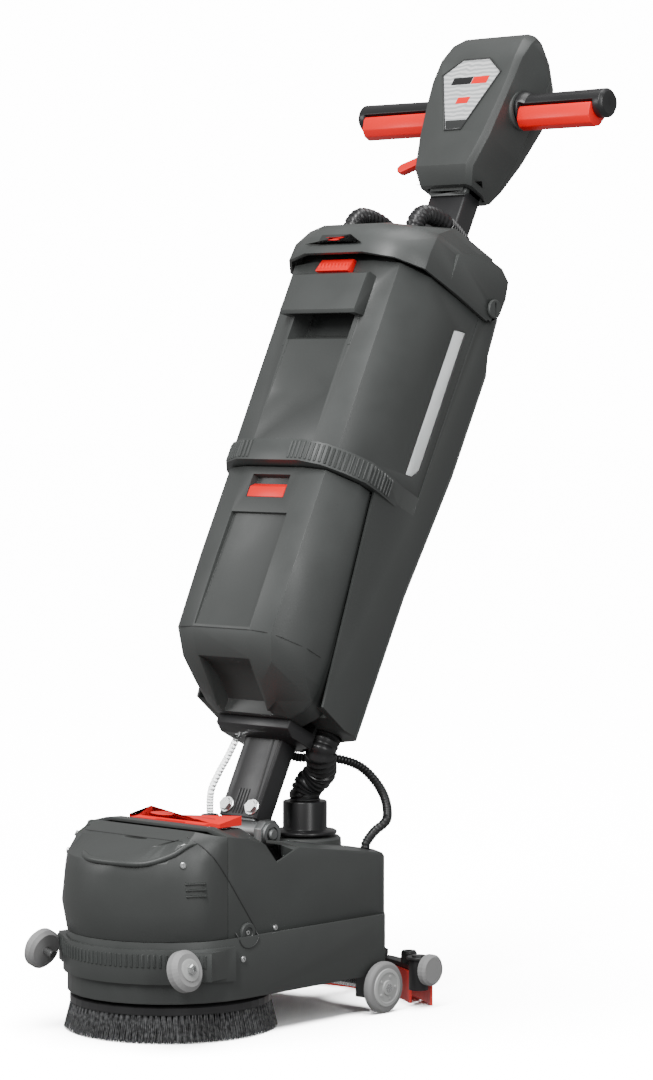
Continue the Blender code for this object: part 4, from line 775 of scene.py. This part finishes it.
scoops = []
for x, z, radii, turn, lean in ((0.010, 0.2290, (0.0200, 0.0020, 0.0100), 0.0, 0.15),
                                (0.064, 0.2270, (0.0230, 0.0020, 0.0050), 0.58, -0.06)):
    spot, normal = front_spot(x, z)
    if spot is not None:
        scoops.append(ball(spot, radii, turn, lean))
press(shells["front_cover"], scoops)
press(shells["base_skirt"], [slab([(0.1825, 0.0775), (0.2265, 0.0775), (0.2265, 0.0838), (0.1825, 0.0838)], "X",
                                  *sorted((side * 0.1190, side * 0.1260))) for side in (-1, 1)])


# %% [markdown]
# A raised rim sweeps round the visor. It is a half-sunk round bead, so a curve with a bevel
# follows points on the cover's skin.

# %% Beads along a skin
def nearest(node, spot):
    """The point of a node's skin nearest to a point of the base's frame."""
    hit(node, (0, 0, 5), (0, 0, 1))
    found, normal, _, _ = skins[node].find_nearest(BASE @ Vector(spot))
    return BASE.inverted() @ found, normal


def bead(name, route, radius, body, slot="charcoal_plastic", finish=None, taper=True):
    """A round bead along a route, thinned to about a third at its ends unless taper is off."""
    spots = smooth_route(route, 0.004)
    data = bpy.data.curves.new(name, "CURVE")
    data.dimensions = "3D"
    data.bevel_depth = radius
    data.bevel_resolution = 4
    data.use_fill_caps = True
    line = data.splines.new("POLY")
    line.points.add(len(spots) - 1)
    for k, (point, spot) in enumerate(zip(line.points, spots)):
        point.co = (*spot, 1.0)
        share = min(k, len(spots) - 1 - k) / 5
        point.radius = min(1.0, 0.35 + share) if taper else 1.0
    obj = bpy.data.objects.new(name, data)
    bpy.context.collection.objects.link(obj)
    only(obj)
    bpy.ops.object.convert(target="MESH")
    return hand_over(settle(bpy.context.active_object), name, body, slot, finish, smooth=60)


RIM = [(-0.038, -0.114, 0.2330), (-0.0117, -0.1265, 0.2187), (0.036, -0.1217, 0.2072),
       (0.0677, -0.1075, 0.2125),
       (0.0904, -0.0892, 0.2230), (0.1035, -0.0735, 0.2328), (0.1055, -0.0571, 0.2375)]
bead("visor_rim", [nearest("front_cover", p)[0] for p in RIM], 0.0036, "base")
seam = []
for k in range(15):
    x = -0.084 + k * 0.012
    spot, normal = front_spot(x, 0.2300)
    if spot is not None:
        seam.append(spot)
if len(seam) > 3:
    bead("visor_seam", seam, 0.0006, "base", finish=dark_abs_and_slot_shade, taper=False)

ribs = []
for z in (0.1700, 0.1770, 0.1840):
    spot, normal = hit("front_cover", (0.25, -0.0640, z), (-1, 0, 0))
    if spot is not None:
        ribs.append(rib_bar(spot, normal, Vector((-normal.y, normal.x, 0)), 0.0240, 0.0036, 0.0020))
if ribs:
    hand_over(join(ribs), "cheek_ribs", "base", "charcoal_plastic", smooth=40)

# %% [markdown]
# On each side a seam runs from the front cover down to a round lug on the skirt. Its route
# is drawn from the side, and every point is carried onto the outermost skin.

# %% Side seams and lugs
STRAP_SEAM = [(-0.0800, 0.2240), (-0.0740, 0.2330), (-0.0560, 0.2345), (-0.0480, 0.2230), (0.0200, 0.1300),
              (0.0245, 0.1200), (0.0215, 0.1100),
         (0.0120, 0.1040), (0.0000, 0.1050), (-0.0070, 0.1130), (-0.0080, 0.1220)]


def side_spot(side, y, z, nodes=("front_cover", "base_cover", "base_skirt")):
    """The outermost skin on one side of the machine, or None where no skin is met."""
    spots = [hit(node, (side * 0.25, y, z), (-side, 0, 0))[0] for node in nodes]
    spots = [BASE.inverted() @ spot for spot in spots if spot is not None]
    return max(spots, key=lambda spot: side * spot.x) if spots else None


for side, tag in ((1, "left"), (-1, "right")):
    trail = smooth_route([Vector((0.0, y, z)) for y, z in STRAP_SEAM], 0.006)
    trail = [side_spot(side, spot[1], spot[2]) for spot in trail]
    trail = [spot for spot in trail if spot is not None]
    bead(f"strap_seam_{tag}", trail, 0.0008, "base", finish=dark_abs_and_slot_shade, taper=False)
    lug = lathe([(0.0, -0.001), (0.0120, -0.001), (0.0120, 0.0022), (0.0106, 0.0034), (0.0070, 0.0034),
                 (0.0062, 0.0022), (0.0, 0.0022)],
                facing((side_spot(side, 0.0106, 0.1200).x, 0.0106, 0.1200), (side, 0, 0)), steps=36)
    hand_over(settle(lug, BASE), f"strap_lug_{tag}", "base", "charcoal_plastic", smooth=30)
    boss = lathe([(0.0, -0.003), (0.0150, -0.003), (0.0150, 0.0012), (0.0138, 0.0024), (0.0094, 0.0024),
                  (0.0090, 0.0006), (0.0074, 0.0006),
                  (0.0070, 0.0040), (0.0052, 0.0052), (0.0, 0.0052)],
                 facing((side * 0.0548, 0.1135, 0.2190), (side, 0, 0)), steps=40)
    hand_over(settle(boss, BASE), f"pivot_boss_{tag}", "base", "cast_metal", smooth=28)

# %% [markdown]
# Round the hose turret the deck rises to a low round platform. It is lathed.

# %% Turret platform and squeegee caps
platform = lathe([(0.0, -0.016), (0.0450, -0.016), (0.0440, 0.0060), (0.0415, 0.0085), (0.0300, 0.0092),
                  (0.0, 0.0092)],
                 Matrix.Translation((0.0160, 0.2130, 0.1965)), steps=56)
hand_over(settle(platform, BASE), "turret_platform", "base", "charcoal_plastic", smooth=28)
for side, tag in ((1, "left"), (-1, "right")):
    cap = lathe([(0.0, 0.0), (0.0150, 0.0), (0.0150, 0.0018), (0.0140, 0.0028), (0.0085, 0.0028),
                 (0.0080, 0.0045), (0.0, 0.0050)],
                Matrix.Translation((side * 0.1300, 0.2928, 0.0575)), steps=36)
    hand_over(settle(cap, BASE), f"squeegee_cap_{tag}", "squeegee", "black_plastic", smooth=28)
    knob = lathe([(0.0, 0.0), (0.0100, 0.0), (0.0100, 0.0120), (0.0085, 0.0150), (0.0040, 0.0150),
                  (0.0036, 0.0130), (0.0, 0.0130)],
                 Matrix.Translation((side * 0.0850, 0.3258, 0.0438)), steps=10)
    hand_over(settle(knob, BASE), f"squeegee_knob_{tag}", "squeegee", "black_plastic", smooth=20)

# %% [markdown]
# The column's foot has four moulded ribs between its two bolts, and a stamped washer lies
# under each bolt head.

# %% Column foot
foot_ribs = []
for k in range(4):
    spot, normal = hit("column_tube", (-0.0075 + 0.005 * k, -0.3, 0.0340), (0, 1, 0), COLUMN)
    if spot is not None:
        foot_ribs.append(rib_bar(spot, normal, tall, 0.0320, 0.0022, 0.0012))
if foot_ribs:
    hand_over(join(foot_ribs), "column_foot_ribs", "column", "black_tube", smooth=40)
front_way = COLUMN.to_3x3() @ Vector((0, -1, 0))
for side, tag in ((1, "left"), (-1, "right")):
    washer = lathe([(0.0, 0.0), (0.0105, 0.0), (0.0105, 0.0010), (0.0096, 0.0015), (0.0, 0.0015)],
                   facing(COLUMN @ Vector((side * 0.0210, -0.0112, 0.0275)), front_way), steps=32)
    hand_over(washer, f"bolt_washer_{tag}", "column", "steel", smooth=28)

# %% [markdown]
# The hood carries a lid gasket that closes the tank's mouth, a small framed tell-tale above
# the red latch, and a bright knob on each shoulder.

# %% Hood fittings
GASKET = [(0.050, -0.1415), (0.0865, -0.1300), (0.1030, -0.0930), (0.1030, -0.0040)]
ring = GASKET + [(-x, u) for x, u in reversed(GASKET)]
gasket = slab(ring, "Z", 0.6944, 0.7100, COLUMN, round_by=0.001)
hand_over(gasket, "hood_gasket", "hood", "black_plastic", dark_abs_and_slot_shade)


spot, normal = hit("tank_hood", (-0.003, -0.4, 0.7130), (0, 1, 0), COLUMN)
telltale = facing(spot, normal)
hand_over(slab([(-0.0240, -0.0060), (0.0240, -0.0060), (0.0260, -0.0030), (0.0240, 0.0065), (-0.0240, 0.0065),
                (-0.0260, -0.0030)], "Z",
               -0.0030, 0.0026, telltale, 0.0007), "telltale_frame", "hood", "charcoal_plastic", dark_abs_and_slot_shade)
hand_over(slab([(-0.0150, -0.0022), (0.0150, -0.0022), (0.0150, 0.0022), (-0.0150, 0.0022)], "Z", 0.0010,
               0.0034, telltale, 0.0004),
          "telltale_window", "hood", "red_plastic")
latch_ribs = []
for k in range(9):
    spot, normal = hit("waste_tank_latch", (-0.0260 + 0.0058 * k, -0.4, 0.6820), (0, 1, 0), COLUMN)
    if spot is not None:
        latch_ribs.append(rib_bar(spot, normal, tall, 0.0080, 0.0024, 0.0010))
if latch_ribs:
    hand_over(join(latch_ribs), "latch_grip_ribs", "waste_tank_latch", "red_plastic", smooth=40)
for side, tag in ((1, "left"), (-1, "right")):
    spot, normal = hit("tank_hood", (side * 0.080, -0.060, 1.0), (0, 0, -1), COLUMN)
    if spot is not None:
        knob = lathe([(0.0, -0.001), (0.0078, -0.001), (0.0078, 0.0012), (0.0056, 0.0030), (0.0052, 0.0060),
                      (0.0030, 0.0080), (0.0, 0.0084)],
                     facing(spot, normal), steps=32)
        hand_over(knob, f"hood_knob_{tag}", "hood", "steel", smooth=32)
    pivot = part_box(f"hood_screw_{tag}")
    centre = (pivot[0] + pivot[1]) / 2
    face = pivot[1].x if side > 0 else pivot[0].x
    disc = lathe([(0.0, -0.0010), (0.0118, -0.0010), (0.0118, 0.0010), (0.0106, 0.0020), (0.0, 0.0020)],
                 facing((face, centre.y, centre.z), (side, 0, 0)), steps=36)
    # Each pivot face carries a dark bar for its screw slot: painted shade, since no slot is cut.
    slot_shade_slab = slab([(-0.0080, -0.0009), (0.0080, -0.0009), (0.0080, 0.0009), (-0.0080, 0.0009)], "Z", 0.0016,
                  0.0022,
                  facing((face, centre.y, centre.z), (side, 0, 0)))
    hand_over(slot_shade_slab, f"hood_pivot_slot_painted_shade_{tag}", "column", "black_plastic", dark_abs_and_slot_shade)
    hand_over(disc, f"hood_pivot_face_{tag}", "column", "charcoal_plastic", smooth=28)

# %% [markdown]
# The head's label has a raised dark bezel, a darker tab at its foot and two blank printed
# lozenges in place of any words.

# %% Head fittings
LABEL = [(-0.0134, 0.9400), (0.0134, 0.9400), (0.0485, 1.0220), (0.0220, 1.0435), (-0.0220, 1.0435),
         (-0.0485, 1.0220)]
bezel_route = [Vector((x, -0.0402, v)) for x, v in LABEL]
bezel_route = bezel_route + [bezel_route[0]]
bezel_pieces = []
for k, (a, b) in enumerate(zip(bezel_route, bezel_route[1:])):
    way = (b - a).normalized()
    side_way = Vector((way.z, 0, -way.x))
    rings = []
    for end in (a - way * 0.0006, b + way * 0.0006):
        rings.append([tuple(end + side_way * p + Vector((0, q, 0))) for p,
                      q in ((-0.0012, 0.0010), (-0.0008, -0.0012), (0.0008, -0.0012), (0.0012, 0.0010))])
    bezel_pieces.append(loft(rings, COLUMN, 0.0003))
hand_over(join(bezel_pieces), "label_bezel", "column", "charcoal_plastic", dark_abs_and_slot_shade, smooth=40)


def label_print(name, outline, finish, lift=0.00025):
    """A printed shape lying on the label."""
    spot, normal = hit("label_plate", (0, -0.3, 0.9900), (0, 1, 0), COLUMN)
    u = (COLUMN.inverted() @ spot).y
    return hand_over(slab(outline, "Y", u - lift, u + 0.0002, COLUMN), name, "column", "silver_label", finish)


def lozenge(cx, cv, half, tall_by, lean=0.002):
    """A leaning lozenge."""
    return [(cx - half, cv - tall_by), (cx + half - lean, cv - tall_by), (cx + half, cv + tall_by),
            (cx - half + lean, cv + tall_by)]


label_print("label_dark_lozenge", lozenge(-0.012, 1.0120, 0.017, 0.0052), black_pp)
label_print("label_red_lozenge", lozenge(0.018, 1.0120, 0.014, 0.0052), red_abs)
label_print("label_small_lozenge", lozenge(0.000, 0.9830, 0.011, 0.0045), red_abs)
label_print("label_foot_tab", [(-0.0125, 0.9418), (0.0125, 0.9418), (0.0175, 0.9540), (-0.0175, 0.9540)],
            dark_abs_and_slot_shade)

socket_rows = []
for v, x, u0, u1 in ((0.8600, 0.0280, -0.0140, 0.0190), (0.8650, 0.0310, -0.0160, 0.0210),
                     (0.8760, 0.0310, -0.0160, 0.0210)):
    socket_rows.append([(-x + 0.003, u0, v), (x - 0.003, u0, v), (x, u0 + 0.003, v), (x, u1, v), (-x, u1, v),
                        (-x, u0 + 0.003, v)])
socket = loft(socket_rows, COLUMN, 0.0008)
hand_over(socket, "head_socket_lip", "column", "charcoal_plastic")
for side, tag in ((1, "left"), (-1, "right")):
    rim = lathe([(0.0, -0.006), (0.0265, -0.006), (0.0262, 0.0010), (0.0245, 0.0030), (0.0215, 0.0036),
                 (0.0205, 0.0010), (0.0, 0.0010)],
                COLUMN @ facing((side * 0.0640, 0.0025, 0.9900), (side, 0, 0)), steps=48)
    hand_over(rim, f"grip_rim_{tag}", "column", "charcoal_plastic", smooth=32)
    end = lathe([(0.0, 0.0), (0.0150, 0.0), (0.0140, 0.0010), (0.0060, 0.0012), (0.0, 0.0006)],
                COLUMN @ facing((side * 0.2040, 0.0025, 0.9915), (side, 0, 0)), steps=40)
    hand_over(end, f"grip_end_{tag}", "column", "black_plastic", grip_pvc, smooth=32)

# %% [markdown]
# A thin seam runs round the clean tank where its moulded foot begins.

# %% Tank seam
SEAM_V = 0.2050
SEAM_POINTS = 25
line = []
for k in range(SEAM_POINTS):
    turn = math.radians(-180 + 180 * k / 24)
    out = Vector((math.cos(turn), math.sin(turn), 0))
    start = Vector((0, -0.060, SEAM_V)) + Vector((out.x * 0.3, out.y * 0.3, 0))
    spot, normal = hit("clean_tank", tuple(start), tuple(-out), COLUMN)
    if spot is not None:
        line.append(BASE.inverted() @ spot)
bead("clean_tank_seam", line, 0.0005, "clean_tank", finish=dark_abs_and_slot_shade, taper=False)

# %% [markdown]
# The studio is white all round. A lamp that lights only the floor keeps it white with a soft
# shadow, while dimmer soft boxes shape the dark plastic. The floor stays out of reflections,
# because the world already gives them the same even white.

# %% Floor, light and camera
WHITE = 15.0


def softbox(name, spot, target, size, power, size_y=None):
    """A large soft light aimed at a point."""
    bpy.ops.object.light_add(type="AREA", location=spot)
    lamp = bpy.context.active_object
    lamp.name = name
    lamp.data.energy = power
    lamp.data.size = size
    if size_y:
        lamp.data.shape = "RECTANGLE"
        lamp.data.size_y = size_y
    lamp.rotation_euler = (Vector(target) - Vector(spot)).to_track_quat("-Z", "Y").to_euler()
    return lamp


bpy.ops.mesh.primitive_plane_add(size=60.0, location=(0, 0, 0))
floor = bpy.context.active_object
floor.name = "studio_floor"
floor.visible_diffuse = False
floor.visible_glossy = False
paint = bpy.data.materials.new("matt_white_studio_floor")
paint.use_nodes = True
paint.node_tree.nodes["Principled BSDF"].inputs["Base Color"].default_value = linear("#fbfbfb")
paint.node_tree.nodes["Principled BSDF"].inputs["Roughness"].default_value = 0.9
paint.node_tree.nodes["Principled BSDF"].inputs["Specular IOR Level"].default_value = 0.0
floor.data.materials.append(paint)

softbox("key_strip", (0.62, -1.85, 2.45), (0, 0, 0.6), 0.30, 95, 2.0)
softbox("front_fill", (-1.8, -2.2, 1.6), (0, 0, 0.55), 1.2, 26)
softbox("side_strip", (2.4, -0.9, 1.5), (0, 0, 0.6), 0.35, 30, 2.2)
softbox("top_light", (0.2, 0.3, 3.2), (0, 0, 0.4), 1.6, 42)
bpy.ops.object.light_add(type="SUN", location=(0, 0, 5))
sky = bpy.context.active_object
sky.name = "floor_light"
sky.data.energy = WHITE * math.pi
sky.data.angle = math.radians(55)
only_floor = bpy.data.collections.new("floor_only")
only_floor.objects.link(floor)
sky.light_linking.receiver_collection = only_floor

world = bpy.data.worlds.new("white_studio")
world.use_nodes = True
sky_tree = world.node_tree
backdrop = sky_tree.nodes["Background"]
backdrop.inputs["Color"].default_value = (1.0, 1.0, 1.0, 1.0)
seen = add(sky_tree, "ShaderNodeLightPath").outputs["Is Camera Ray"]
level = add(sky_tree, "ShaderNodeMapRange", {"To Min": 0.38, "To Max": WHITE}, {"Value": seen})
sky_tree.links.new(level.outputs["Result"], backdrop.inputs["Strength"])
bpy.context.scene.world = world

bpy.ops.object.camera_add(location=(2.896, -2.837 + BRUSH_Y, 0.752),
                          rotation=(math.radians(87.44), 0, math.radians(43)))
camera = bpy.context.active_object
camera.data.lens = 115.6
camera.data.sensor_fit = "VERTICAL"
camera.data.sensor_height = 36.0
camera.data.sensor_width = 36.0
camera.data.clip_end = 200.0
bpy.context.scene.camera = camera
